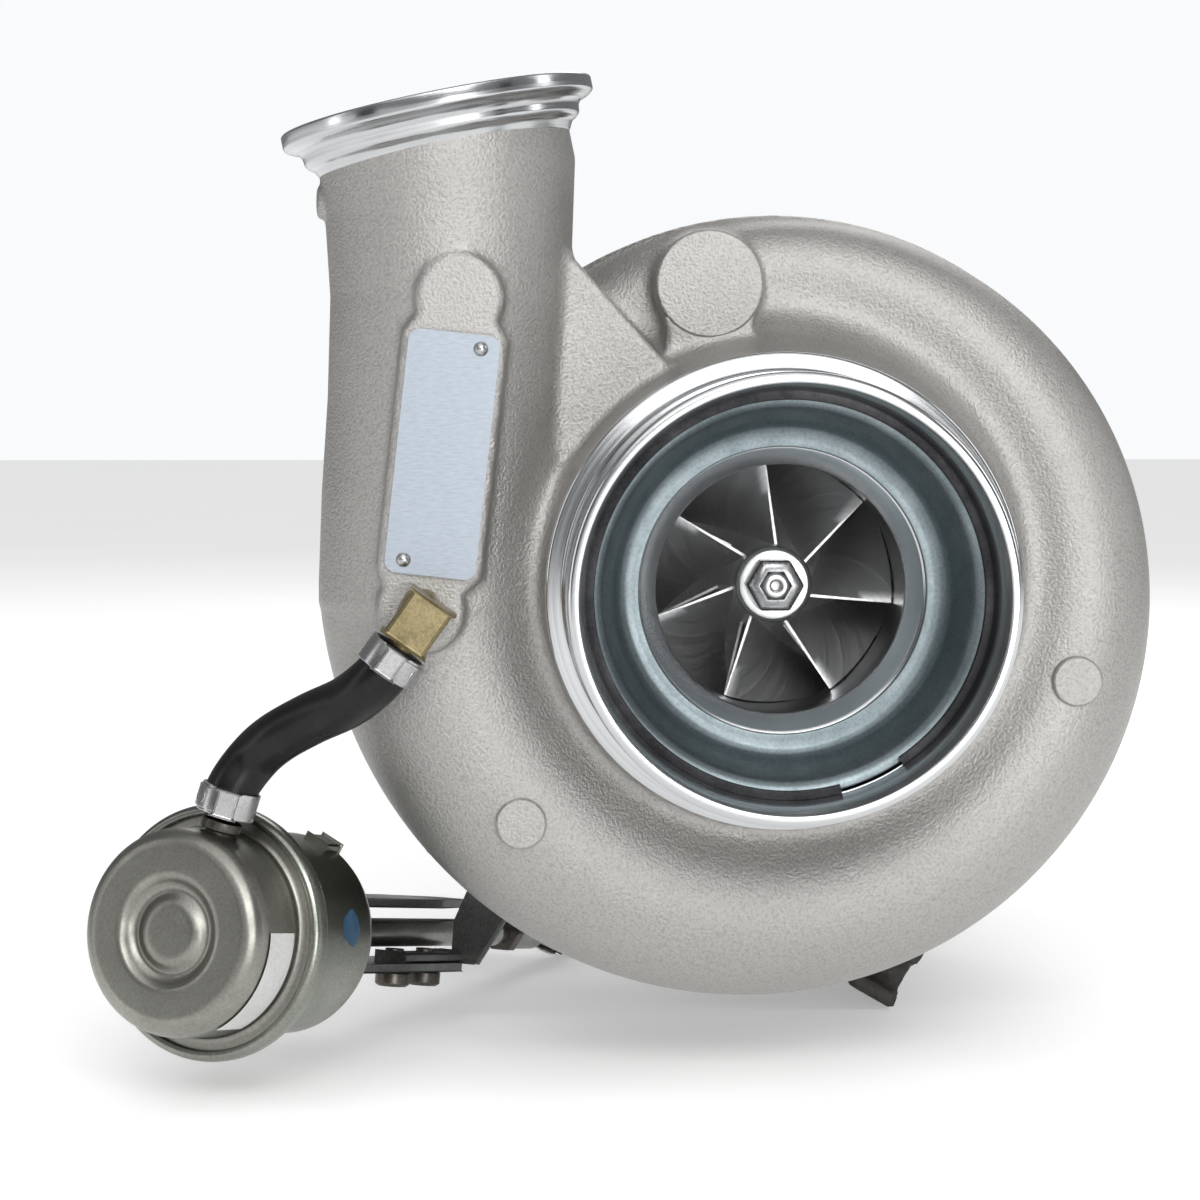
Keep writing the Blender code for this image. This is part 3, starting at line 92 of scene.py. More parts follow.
# Places of the shaft, the outlet and the inlet flange
INLET_NORMAL = Vector((math.cos(math.radians(30)), 0.0, -math.sin(math.radians(30))))
INLET_SIDE = Vector((math.sin(math.radians(30)), 0.0, math.cos(math.radians(30))))
INLET_REACH = 97.0
INLET_DROP = -46.0
INLET_MIDDLE = 98.5
FLANGE_FACE = INLET_NORMAL * INLET_REACH + INLET_SIDE * INLET_DROP + Vector((0, INLET_MIDDLE, 0))
OUTLET_FACE = Vector((-81.2, -29.5, 114.6))
OUTLET_AXIS = Vector((-0.2, 0.0, 0.98)).normalized()

# Compressor side
LIP_FRONT = -91.0
RIM_RADIUS = 89.0
BAND_NECK = 84.5
BAND_RIM = 87.5
COVER_BACK = 6.0
SHROUD_RADIUS = 30.0
SHROUD_CURVE = 2.3
DUCT_MIDDLE = -29.5
PLATE_CENTRE = (-79.3, 31.9)
PLATE_SIZE = (20.7, 56.2)
PLATE_TILT = math.radians(6.5)
LAND_FRONT = -60.0
LAND_TOP = (-75.2, 68.1)
LAND_BOTTOM = (-84.5, -4.3)
LAND_LOBE = 10.4

# Wheels and shaft
BLADE_COUNT = 7
FIRST_BLADE = 93.5
HUB_RADIUS = 9.5
HUB_CURVE = 2.1
HUB_BACK = -1.9
INDUCER_FRONT = -32.0
INDUCER_RADIUS = 29.6
EXDUCER_RADIUS = 42.5
TIP_BACK = -4.6
TURBINE_BLADES = 11
TURBINE_BACK = 70.7
TURBINE_END = 103.0
TURBINE_HUB = 8.5
TURBINE_DISC = 33.0
STUB_RADIUS = 3.4
PORTS_MIDDLE = 37.0

# Turbine side
TURBINE_NECK = 53.0
TURBINE_RIM = 56.0

# Actuator and lever
CAN_REAR = Vector((-118.6, -10.0, -89.5))
ROD_AXIS = Vector((0.447, 0.8775, -0.1736)).normalized()
ROD_SIDE = Vector((ROD_AXIS.y, -ROD_AXIS.x, 0.0)).normalized()
ROD_UP = ROD_SIDE.cross(ROD_AXIS)
CAN_RADIUS = 25.0
CAP_FRONT = -57.1
ROD_PIN_REACH = 151.0
STROKE = 12.0
LEVER_ARM = 43.0
FLAP_ARM = 30.0
FLAP_REACH = 81.0
PIVOT_GUESS = Vector((0.41, 0.0, 0.912))
STUD_PLACES = ((-15.5, 6.0), (-15.5, -6.0))
LEG_BOLTS = ((51.0, 63.0), (60.0, 74.0))
BRACKET_SCREWS = (41.0, 58.0)
NIPPLE_FOOT = Vector((6.09, -47.6, 24.25))
NIPPLE_UP = Vector((0.2435, 0.0, 0.970)).normalized()

# Boost hose
HOSE_ROUTE = (
    (-88.9, -68.0, -12.3), (-92.7, -68.0, -17.6), (-96.4, -66.4, -21.4), (-102.0, -62.0, -25.7),
    (-110.3, -57.0, -29.9), (-118.7, -53.0, -34.9), (-124.5, -49.8, -40.2),
)
HOSE_END = 3.9
HOSE_RADIUS = 6.2
ELBOW_CENTRE = Vector((-84.8, -68.0, -6.6))


# ---------------------------------------------------------------- frames

def axes_at(place, x_axis, y_axis, z_axis):
    turn = Matrix((x_axis, y_axis, z_axis)).transposed().to_4x4()
    return Matrix.Translation(Vector(place)) @ turn


def aim_at(place, y_axis, x_axis=(1.0, 0.0, 0.013)):
    """A frame at a place with its Y along y_axis and its X near x_axis."""
    along = Vector(y_axis).normalized()
    across = Vector(x_axis)
    across = (across - along * along.dot(across)).normalized()
    return axes_at(place, across, along, across.cross(along))


PIVOT_AXIS = (PIVOT_GUESS - ROD_AXIS * ROD_AXIS.dot(PIVOT_GUESS)).normalized()
HALF_SWING = 0.5 * STROKE / LEVER_ARM
LEVER_AHEAD = ROD_AXIS.cross(PIVOT_AXIS) * math.cos(HALF_SWING) - ROD_AXIS * math.sin(HALF_SWING)
PIN_PLACE = CAN_REAR + ROD_AXIS * ROD_PIN_REACH
PIVOT_PLACE = PIN_PLACE - LEVER_AHEAD * LEVER_ARM
FLAP_PLACE = PIVOT_PLACE + PIVOT_AXIS * FLAP_REACH + LEVER_AHEAD * FLAP_ARM
SHAFT = Matrix.Identity(4)
ACTUATOR = axes_at(CAN_REAR, ROD_SIDE, ROD_AXIS, ROD_UP)
PIVOT = axes_at(PIVOT_PLACE, LEVER_AHEAD, PIVOT_AXIS, LEVER_AHEAD.cross(PIVOT_AXIS))


# ---------------------------------------------------------------- shapes

def eased(profile, size=0.6, steps=4):
    """The closed profile with each corner rounded off."""
    points = []
    count = len(profile)
    for index, corner in enumerate(profile):
        here = Vector(corner)
        if here.y < 1e-6:
            points.append(tuple(here))
            continue
        before = Vector(profile[index - 1])
        after = Vector(profile[(index + 1) % count])
        reach = min(size, 0.42 * (before - here).length, 0.42 * (after - here).length)
        start = here + (before - here).normalized() * reach
        end = here + (after - here).normalized() * reach
        for step in range(steps + 1):
            t = step / steps
            points.append(tuple(start * (1 - t) ** 2 + here * (2 * t * (1 - t)) + end * t * t))
    return points


def turned(profile, segments=ROUND):
    """Turns (along Y, radius) points around Y. Points on the axis close the ends."""
    points, faces, rings = [], [], []
    for along, radius in profile:
        count = 1 if radius < 1e-6 else segments
        rings.append([len(points) + step for step in range(count)])
        for step in range(count):
            angle = 2 * math.pi * step / segments
            points.append((radius * math.cos(angle), along, radius * math.sin(angle)))
    for ring_points, after in zip(rings, rings[1:] + rings[:1]):
        if len(ring_points) == 1 and len(after) == 1:
            continue
        for step in range(segments):
            there = (step + 1) % segments
            corners = [
                ring_points[step % len(ring_points)], ring_points[there % len(ring_points)],
                after[there % len(after)], after[step % len(after)],
            ]
            faces.append(list(dict.fromkeys(corners)))
    return points, faces


def ring(low, high, inner, outer):
    return [(low, inner), (low, outer), (high, outer), (high, inner)]


def rod(low, high, radius):
    return [(low, 0), (low, radius), (high, radius), (high, 0)]


def placed(shape, frame):
    points, faces = shape
    return [frame @ Vector(point) for point in points], faces


def hexagon(low, high, inner, outer):
    return turned([(low, inner), (low, outer), (high, outer), (high, inner)], 6)


def joined(shapes):
    points, faces = [], []
    for more_points, more_faces in shapes:
        start = len(points)
        points.extend(more_points)
        faces.extend([[start + index for index in face] for face in more_faces])
    return points, faces


def prism(outline, low, high, flat="xz"):
    """An outline drawn out along Y, or along Z where flat is xy."""
    count = len(outline)
    if flat == "xz":
        points = [(a, low, b) for a, b in outline] + [(a, high, b) for a, b in outline]
    else:
        points = [(a, b, low) for a, b in outline] + [(a, b, high) for a, b in outline]
    faces = [[i, (i + 1) % count, count + (i + 1) % count, count + i] for i in range(count)]
    return points, faces + [list(range(count)), list(range(2 * count - 1, count - 1, -1))]


def block(low, high):
    outline = [(low[0], low[2]), (high[0], low[2]), (high[0], high[2]), (low[0], high[2])]
    return prism(outline, low[1], high[1])


def arc(centre, radius, start, end, steps):
    angles = [math.radians(start + (end - start) * step / steps) for step in range(steps + 1)]
    return [(centre[0] + radius * math.cos(a), centre[1] + radius * math.sin(a)) for a in angles]


def ring_faces(rings, count):
    """Quads between rings of points, and a face over each end."""
    faces = []
    for start in range(0, (rings - 1) * count, count):
        for step in range(count):
            after = (step + 1) % count
            faces.append([start + step, start + after, start + count + after, start + count + step])
    return faces + [list(range(count)), list(range(rings * count - 1, (rings - 1) * count - 1, -1))]


def rounded(half_width, half_height, corner, steps=8):
    wide, high = half_width - corner, half_height - corner
    outline = []
    for sign_x, sign_y, start in ((1, 1, 0), (-1, 1, 90), (-1, -1, 180), (1, -1, 270)):
        outline += arc((sign_x * wide, sign_y * high), corner, start, start + 90, steps)
    return outline


def along_path(path, radii, sides=28):
    """A closed round tube along points, with one radius or one per point."""
    path = [Vector(point) for point in path]
    if not isinstance(radii, (list, tuple)):
        radii = [radii] * len(path)
    side = Vector((0.0, 0.0, 1.0))
    points = []
    for index, point in enumerate(path):
        ahead = (path[min(index + 1, len(path) - 1)] - path[max(index - 1, 0)]).normalized()
        side = (side - ahead * ahead.dot(side)).normalized()
        other = ahead.cross(side)
        for step in range(sides):
            angle = 2 * math.pi * step / sides
            points.append(point + (side * math.cos(angle) + other * math.sin(angle)) * radii[index])
    return points, ring_faces(len(path), sides)


def smooth_route(points, steps):
    """Catmull-Rom points through the route's own points."""
    points = [Vector(point) for point in points]
    ends = [points[0] * 2 - points[1]] + points + [points[-1] * 2 - points[-2]]
    route = []
    for before, here, there, after in zip(ends, ends[1:], ends[2:], ends[3:]):
        for step in range(steps):
            t = step / steps
            route.append(0.5 * (2 * here + (there - before) * t
                                + (2 * before - 5 * here + 4 * there - after) * t * t
                                + (3 * here - before - 3 * there + after) * t ** 3))
    return route + [points[-1]]


# ---------------------------------------------------------------- objects

def added(name, data):
    made = bpy.data.objects.new(name, data)
    bpy.context.scene.collection.objects.link(made)
    return made


def outward(points, faces):
    """Turns all the faces round if the closed shape is inside out."""
    volume = 0.0
    for face in faces:
        a = points[face[0]]
        for b, c in zip(face[1:], face[2:]):
            volume += Vector(a).dot(Vector(points[b]).cross(Vector(points[c])))
    return [face[::-1] for face in faces] if volume < 0 else faces


def finish_piece(name, mesh, look, body, nodes, sharp):
    """Adds the object. The look is LOOK, or LOOK/SLOT, of which only LOOK is used here."""
    mesh.materials.append(LOOKS[look.split("/")[0]])
    mesh.shade_smooth()
    if sharp:
        mesh.set_sharp_from_angle(angle=math.radians(sharp))
    made = added(name, mesh)
    if body:
        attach(made, body)
    if nodes:
        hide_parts(*nodes)
    return made


def piece(name, shape, look, frame=SHAFT, body="housing", nodes=(), sharp=38, bevel=0.0):
    """An object from a shape that is drawn in the given frame."""
    points, faces = placed(shape, frame)
    faces = outward(points, faces)
    mesh = bpy.data.meshes.new(name)
    mesh.from_pydata([scene_point(point) for point in points], [], faces)
    made = finish_piece(name, mesh, look, body, nodes, sharp)
    if bevel:
        step = made.modifiers.new("bevel", "BEVEL")
        step.width = bevel * MM
        step.segments = 3
        step.limit_method = "ANGLE"
        step.angle_limit = math.radians(38)
        step.harden_normals = True
    return made


def lathe(name, profile, look, frame=SHAFT, body="housing", nodes=(), ease=0.5, flats=ROUND):
    return piece(name, turned(eased(profile, ease), flats), look, frame, body, nodes)


def cast(name, field, low, high, look, nodes, step=CAST_STEP):
    """Meshes where a distance field is zero, between two corners."""
    spans = [np.arange(a, b + step, step, dtype=np.float32) for a, b in zip(low, high)]
    x = spans[0][:, None, None]
    y = spans[1][None, :, None]
    z = spans[2][None, None, :]
    shape = tuple(len(span) for span in spans)
    values = np.ascontiguousarray(np.broadcast_to(field(x, y, z), shape), dtype=np.float32)
    grid = openvdb.FloatGrid(background=10.0)
    grid.copyFromArray(values)
    points, quads = grid.convertToQuads(isovalue=0.0)
    points = points.astype(np.float64) * step + np.array(low)
    a, b, c = points[quads[:, 0]], points[quads[:, 1]], points[quads[:, 2]]
    d = points[quads[:, 3]]
    volume = np.einsum("ij,ij->i", a, np.cross(b, c)).sum() + np.einsum("ij,ij->i", a,
                                                                        np.cross(c, d)).sum()
    if volume < 0:
        quads = quads[:, ::-1]
    points = (points - np.array(FLANGE_FACE)) * MM
    mesh = bpy.data.meshes.new(name)
    mesh.from_pydata(points.tolist(), [], quads.tolist())
    finish_piece(name, mesh, look, "housing", nodes, 0)


# ---------------------------------------------------------------- distance fields

def soft_min(a, b, size):
    share = np.clip(0.5 + 0.5 * (b - a) / size, 0.0, 1.0)
    return b + (a - b) * share - size * share * (1.0 - share)


def soft_max(a, b, size):
    return -soft_min(-a, -b, size)


def polygon_field(outline, x, z):
    """Signed distance to a closed outline of (x, z) points."""
    best = np.full(np.broadcast(x, z).shape, 1e9, dtype=np.float32)
    inside = np.zeros(best.shape, dtype=bool)
    for (ax, az), (bx, bz) in zip(outline, outline[1:] + outline[:1]):
        ex, ez = bx - ax, bz - az
        share = np.clip(((x - ax) * ex + (z - az) * ez) / (ex * ex + ez * ez), 0.0, 1.0)
        best = np.minimum(best, (x - ax - ex * share) ** 2 + (z - az - ez * share) ** 2)
        crosses = ((az > z) != (bz > z)) & (x < ex * (z - az) / (ez if ez else 1e-9) + ax)
        inside ^= crosses
    return np.where(inside, -np.sqrt(best), np.sqrt(best))


def cut(body, hole):
    return np.maximum(body, -hole)


def slab(value, low, high):
    return np.maximum(low - value, value - high)


def cylinder_field(x, y, z, place, axis, radius, low, high, ease=1.0):
    """A cylinder around an axis through a place, between two heights along it."""
    axis = Vector(axis).normalized()
    dx, dy, dz = x - place[0], y - place[1], z - place[2]
    along = dx * axis.x + dy * axis.y + dz * axis.z
    off = np.sqrt(np.maximum(dx * dx + dy * dy + dz * dz - along * along, 0.0)) - radius
    return soft_max(off, slab(along, low, high), ease)


def revolved_field(reach, y, profile):
    """Inside a turned outline given as (y, radius) points in rising y."""
    ys = [point[0] for point in profile]
    radii = [point[1] for point in profile]
    inside = (reach - np.interp(y, ys, radii)) * 0.85
    return soft_max(inside, slab(y, ys[0], ys[-1]), 0.8)


# ---------------------------------------------------------------- materials

def material(name, colour, roughness, metallic):
    made = bpy.data.materials.new(name)
    made.use_nodes = True
    shader = made.node_tree.nodes["Principled BSDF"]
    shader.inputs["Base Color"].default_value = (*colour, 1.0)
    shader.inputs["Roughness"].default_value = roughness
    shader.inputs["Metallic"].default_value = metallic
    return made, made.node_tree, shader


def noise(tree, scale, detail=4.0, rough=0.55):
    where = tree.nodes.new("ShaderNodeTexCoord")
    made = tree.nodes.new("ShaderNodeTexNoise")
    made.inputs["Scale"].default_value = scale
    made.inputs["Detail"].default_value = detail
    made.inputs["Roughness"].default_value = rough
    tree.links.new(where.outputs["Object"], made.inputs["Vector"])
    return made.outputs["Fac"]


def ramp(tree, factor, stops):
    made = tree.nodes.new("ShaderNodeValToRGB")
    band = made.color_ramp
    while len(band.elements) < len(stops):
        band.elements.new(0.5)
    for element, (place, colour) in zip(band.elements, stops):
        element.position = place
        element.color = (*colour, 1.0)
    tree.links.new(factor, made.inputs["Fac"])
    return made.outputs["Color"]


def mixed(tree, factor, first, second):
    made = tree.nodes.new("ShaderNodeMix")
    made.data_type = "RGBA"
    made.inputs["Factor"].default_value = factor
    tree.links.new(first, made.inputs["A"])
    tree.links.new(second, made.inputs["B"])
    return made.outputs["Result"]


def bump(tree, shader, height, strength, distance):
    made = tree.nodes.new("ShaderNodeBump")
    made.inputs["Strength"].default_value = strength
    made.inputs["Distance"].default_value = distance
    tree.links.new(height, made.inputs["Height"])
    tree.links.new(made.outputs["Normal"], shader.inputs["Normal"])


def grey(level):
    return (level, level, level)


def cast_metal(name, dark, light, roughness, metallic, grain, depth, cloud=28.0):
    """Sand-cast metal: fine grain in its surface, slow clouds in its colour."""
    made, tree, shader = material(name, light, roughness, metallic)
    fine = noise(tree, grain, 3.0, 0.6)
    slow = noise(tree, cloud, 4.0, 0.6)
    speckle = ramp(tree, fine, [(0.30, dark), (0.52, light), (0.72, [min(1.0, c * 1.12) for c in light])])
    clouds = ramp(tree, slow, [(0.35, [c * 0.90 for c in light]), (0.65, light)])
    tree.links.new(mixed(tree, 0.42, speckle, clouds), shader.inputs["Base Color"])
    rough = ramp(tree, slow, [(0.3, grey(roughness - 0.05)), (0.7, grey(roughness + 0.07))])
    tree.links.new(rough, shader.inputs["Roughness"])
    bump(tree, shader, fine, 0.8, depth)
    return made


def vector_math(tree, operation, first, second=None):
    made = tree.nodes.new("ShaderNodeVectorMath")
    made.operation = operation
    tree.links.new(first, made.inputs[0])
    if second is not None:
        made.inputs[1].default_value = second
    return made.outputs


def turned_metal(name, colour, roughness, centre, axis, pitch=0.00035, depth=0.00002, dark=0.82):
    """Metal with fine turning lines around an axis. Lengths are in metres."""
    made, tree, shader = material(name, colour, roughness, 1.0)
    where = tree.nodes.new("ShaderNodeTexCoord")
    local = vector_math(tree, "SUBTRACT", where.outputs["Object"], centre)["Vector"]
    crossed = vector_math(tree, "CROSS_PRODUCT", local, axis)["Vector"]
    total = tree.nodes.new("ShaderNodeMath")
    total.operation = "ADD"
    tree.links.new(vector_math(tree, "LENGTH", crossed)["Value"], total.inputs[0])
    tree.links.new(vector_math(tree, "DOT_PRODUCT", local, axis)["Value"], total.inputs[1])
    turned_noise = tree.nodes.new("ShaderNodeTexNoise")
    turned_noise.noise_dimensions = "1D"
    turned_noise.inputs["Scale"].default_value = 1.0 / (pitch * 3)
    turned_noise.inputs["Detail"].default_value = 3.0
    tree.links.new(total.outputs["Value"], turned_noise.inputs["W"])
    lines = turned_noise.outputs["Fac"]
    slow = noise(tree, 45.0, 3.0)
    tone = ramp(tree, lines, [(0.3, [c * dark for c in colour]), (0.6, colour)])
    cloud = ramp(tree, slow, [(0.35, [c * 0.9 for c in colour]), (0.65, colour)])
    tree.links.new(mixed(tree, 0.4, tone, cloud), shader.inputs["Base Color"])
    rough = ramp(tree, lines, [(0.3, grey(roughness + 0.08)), (0.7, grey(roughness - 0.05))])
    tree.links.new(rough, shader.inputs["Roughness"])
    bump(tree, shader, lines, 0.35, depth)
    return made


def plated(name, colours, roughness, scale, metallic=1.0, depth=0.00002):
    """Zinc or passivated plate: clouded tints and a faint grain."""
    made, tree, shader = material(name, colours[0], roughness, metallic)
    slow = noise(tree, scale, 5.0, 0.62)
    spread = 0.5 / max(1, len(colours) - 1)
    stops = [(0.30 + spread * index * 0.8, colour) for index, colour in enumerate(colours)]
    fine = noise(tree, 1400.0, 2.0)
    grain = ramp(tree, fine, [(0.32, [c * 0.72 for c in colours[0]]), (0.62, colours[-1])])
    tree.links.new(mixed(tree, 0.28, ramp(tree, slow, stops), grain), shader.inputs["Base Color"])
    rough = ramp(tree, slow, [(0.3, grey(roughness + 0.07)), (0.7, grey(roughness - 0.04))])
    tree.links.new(rough, shader.inputs["Roughness"])
    bump(tree, shader, fine, 0.25, depth)
    if metallic == 0.0:
        shader.inputs["Specular IOR Level"].default_value = 0.28
    return made


def brushed_plate(name, colour, roughness):
    """Aluminium sheet with long scratches along the nameplate."""
    made, tree, shader = material(name, colour, roughness, 0.85)
    where = tree.nodes.new("ShaderNodeTexCoord")
    stretch = tree.nodes.new("ShaderNodeMapping")
    stretch.inputs["Rotation"].default_value = (0.0, -PLATE_TILT, 0.0)
    stretch.inputs["Scale"].default_value = (420.0, 420.0, 1800.0)
    tree.links.new(where.outputs["Object"], stretch.inputs["Vector"])
    lines = tree.nodes.new("ShaderNodeTexNoise")
    lines.inputs["Scale"].default_value = 1.0
    lines.inputs["Detail"].default_value = 3.0
    tree.links.new(stretch.outputs["Vector"], lines.inputs["Vector"])
    tone = ramp(tree, lines.outputs["Fac"], [(0.3, [c * 0.9 for c in colour]),
                                             (0.7, [min(1, c * 1.06) for c in colour])])
    tree.links.new(tone, shader.inputs["Base Color"])
    bump(tree, shader, lines.outputs["Fac"], 0.3, 0.00003)
    return made


def scene_point(point):
    """A point in millimetres from the shaft, in metres from the inlet flange's face."""
    return (Vector(point) - FLANGE_FACE) * MM


# Three tints, roughness, scale of the clouds, and where they differ metallic and depth of grain
PLATED = {
    "zinc_plate": ([(0.15, 0.19, 0.20), (0.21, 0.25, 0.265), (0.29, 0.335, 0.35)], 0.42, 60.0),
    "yellow_zinc": ([(0.27, 0.265, 0.245), (0.26, 0.255, 0.23), (0.36, 0.355, 0.32)], 0.36, 55.0),
    "green_zinc": ([(0.18, 0.19, 0.165), (0.26, 0.27, 0.24), (0.34, 0.35, 0.31)], 0.29, 34.0),
    "clamp_steel": ([(0.36, 0.36, 0.365), (0.47, 0.47, 0.475), (0.58, 0.58, 0.58)], 0.26, 90.0),
    "dark_steel": ([(0.045, 0.045, 0.045), (0.085, 0.08, 0.075), (0.14, 0.125, 0.11)], 0.36, 70.0),
    "black_steel": ([(0.012, 0.012, 0.013), (0.022, 0.022, 0.024), (0.04, 0.04, 0.042)], 0.34, 70.0),
    "rod_steel": ([(0.26, 0.26, 0.25), (0.36, 0.36, 0.35), (0.44, 0.44, 0.43)], 0.30, 60.0),
    "nut_steel": ([(0.16, 0.16, 0.165), (0.25, 0.25, 0.255), (0.36, 0.36, 0.36)], 0.26, 160.0),
    "bracket_steel": ([(0.10, 0.105, 0.10), (0.17, 0.175, 0.17), (0.26, 0.27, 0.26)], 0.36, 40.0),
    "heat_steel": ([(0.20, 0.16, 0.13), (0.29, 0.25, 0.21), (0.36, 0.33, 0.30)], 0.42, 45.0),
    "bronze": ([(0.45, 0.28, 0.12), (0.58, 0.38, 0.18), (0.66, 0.46, 0.24)], 0.34, 60.0),
    "brass": ([(0.16, 0.13, 0.065), (0.27, 0.22, 0.12), (0.38, 0.32, 0.18)], 0.38, 150.0, 0.9),
    "rubber": ([(0.003, 0.003, 0.003), (0.006, 0.006, 0.006), (0.011, 0.011, 0.011)], 0.30, 120.0, 0.0,
               0.00008),
    "label": ([(0.56, 0.56, 0.55), (0.62, 0.62, 0.61), (0.66, 0.66, 0.65)], 0.55, 90.0, 0.0),
    "paint_dab": ([(0.02, 0.05, 0.10), (0.03, 0.08, 0.14), (0.05, 0.11, 0.18)], 0.4, 300.0, 0.0),
}

# Dark tint, light tint, roughness, metallic, scale of the grain, its depth, scale of the clouds
CAST = {
    "cast_aluminium": ((0.27, 0.265, 0.25), (0.41, 0.40, 0.385), 0.44, 0.80, 1350.0, 0.0004),
    "turbine_alloy": ((0.18, 0.165, 0.15), (0.33, 0.31, 0.28), 0.42, 0.9, 900.0, 0.0001),
    "cast_iron": ((0.018, 0.017, 0.016), (0.060, 0.056, 0.052), 0.60, 0.35, 520.0, 0.0004, 60.0),
}


def make_looks():
    shaft = (scene_point((0, 0, 0)), (0.0, 1.0, 0.0))
    outlet = (scene_point(OUTLET_FACE), tuple(OUTLET_AXIS))
    made = {
        "snout": turned_metal("machined_aluminium", (0.60, 0.61, 0.62), 0.19, *shaft),
        "outlet_rim": turned_metal("machined_outlet", (0.58, 0.59, 0.60), 0.20, *outlet),
        "plate_aluminium": brushed_plate("plate_aluminium", (0.36, 0.40, 0.45), 0.44),
        "wheel_aluminium": turned_metal("wheel_aluminium", (0.72, 0.72, 0.72), 0.46, *shaft, 0.0005,
                                        0.00003),
        "hub": turned_metal("wheel_hub", (0.50, 0.50, 0.50), 0.28, *shaft, 0.0003),
        "machined_steel": turned_metal("machined_steel", (0.56, 0.56, 0.55), 0.26, *shaft, 0.0004),
    }
    for name, values in PLATED.items():
        made[name] = plated(name, *values)
    for name, values in CAST.items():
        made[name] = cast_metal(name, *values)
    return made


# ---------------------------------------------------------------- compressor cover

DUCT_Z = (-6.0, 0.0, 22.0, 45.0, 69.0, 88.0, 102.3, 114.6, 130.0)
DUCT_X = (-81.0, -81.0, -80.4, -79.0, -77.8, -78.0, -78.7, -81.2, -84.3)
DUCT_R = (29.0, 29.0, 28.7, 28.5, 28.9, 29.8, 31.0, 31.0, 31.0)


PADS = (
    ("pad_lower_left", (-61.2, -54.3, -55.5), 6.1), ("pad_right", (73.9, -39.6, -23.7), 6.1),
    ("pad_top", (-15.4, -34.7, 72.3), 13.0),
)


def scroll_field(x, y, z, wall):
    """The compressor's scroll, whose radius grows with the angle, smaller by the wall."""
    turn = np.degrees(np.arctan2(x, z))
    turn = np.where(turn < -61.0, turn + 360.0, turn)
    turn = np.clip(turn, -32.0, 270.0)
    radius = 12.0 + 17.0 * turn / 270.0
    reach = 76.0 + 5.0 * turn / 270.0
    angle = np.radians(turn)
    dx = x - reach * np.sin(angle)
    dz = z - reach * np.cos(angle)
    dy = y + radius + 0.5
    return np.sqrt(dx * dx + dy * dy + dz * dz) - radius + wall


def duct_field(x, y, z, wall, top):
    """The leaning outlet duct, thinner by the wall and cut off at a height over its flange's face."""
    middle = np.interp(z, DUCT_Z, DUCT_X)
    radius = np.interp(z, DUCT_Z, DUCT_R) - wall
    side = np.sqrt((x - middle) ** 2 + (y - DUCT_MIDDLE) ** 2) - radius
    above = (x - OUTLET_FACE.x) * OUTLET_AXIS.x + (z - OUTLET_FACE.z) * OUTLET_AXIS.z - top
    return np.maximum(np.maximum(side, above), -5.0 - z)


def on_plate(across, along):
    """A point (x, z) in the tilted directions of the nameplate."""
    cosine, sine = math.cos(PLATE_TILT), math.sin(PLATE_TILT)
    return (PLATE_CENTRE[0] + cosine * across + sine * along,
            PLATE_CENTRE[1] - sine * across + cosine * along)


def land_outline():
    lean = math.degrees(PLATE_TILT)
    half = PLATE_SIZE[0] / 2 + 2.0
    tall = PLATE_SIZE[1] / 2 + 1.5
    return (
        arc(LAND_TOP, LAND_LOBE, -25 - lean, 205 - lean, 24)
        + [on_plate(-half, tall - 2), on_plate(-half, 2 - tall)]
        + arc(LAND_BOTTOM, LAND_LOBE, 155 - lean, 385 - lean, 24)
        + [on_plate(half, 2 - tall), on_plate(half, tall - 2)]
    )


def cover_field(x, y, z):
    reach = np.sqrt(x * x + z * z)
    tubes = np.minimum(scroll_field(x, y, z, 0.0), duct_field(x, y, z, 0.0, -8.8))
    shoulder = revolved_field(reach, y, [
        (-60.2, 54.6), (-50.0, 55.4), (-40.0, 57.4), (-33.0, 60.5), (-26.0, 65.5), (-20.0, 71.5),
        (-15.0, 80.0), (-11.0, 87.0), (-4.0, 88.0),
    ])
    body = soft_min(tubes, shoulder, 9.0)
    web = np.maximum(polygon_field([(-76, 86), (-49, 79), (-26, 53), (-40, 34), (-76, 30)], x, z),
                     slab(y, -40.5, -6.0))
    body = soft_min(body, web, 2.5)
    pad = cylinder_field(x, y, z, (-15.4, 0, 72.3), (0, 1, 0), 13.3, -33.4, -8.0, 1.4)
    foot = np.maximum(np.maximum(slab(x, -26.0, -5.0), slab(z, 51.0, 64.0)), slab(y, -33.8, -15.0))
    body = soft_min(body, soft_min(pad, foot, 2.0), 2.4)
    land = soft_max(polygon_field(land_outline(), x, z), slab(y, LAND_FRONT, -40.0), 1.2)
    body = soft_min(body, land, 1.4)
    rim = soft_max(reach - RIM_RADIUS, slab(y, -11.0, -0.6), 0.8)
    body = soft_min(body, rim, 1.5)
    boss = cylinder_field(x, y, z, (-109.6, -33.0, 91.4), (1.0, 0.12, 0), 3.8, 0.0, 12.0, 0.8)
    body = soft_min(body, boss, 1.5)
    hollow = np.minimum(np.maximum(scroll_field(x, y, z, 4.0), 40.0 - reach),
                        duct_field(x, y, z, 4.5, 10.0))
    body = cut(body, hollow)
    return np.maximum(body, 52.0 - reach)


def shroud_curve(start, end, radius_start, radius_end, steps):
    points = []
    for step in range(steps + 1):
        share = step / steps
        y = start + (end - start) * (1 - (1 - share) ** 1.6)
        bend = ((y - start) / (end - start)) ** SHROUD_CURVE
        points.append((y, radius_end - (radius_end - radius_start) * (1 - bend) ** (1 / SHROUD_CURVE)))
    return points


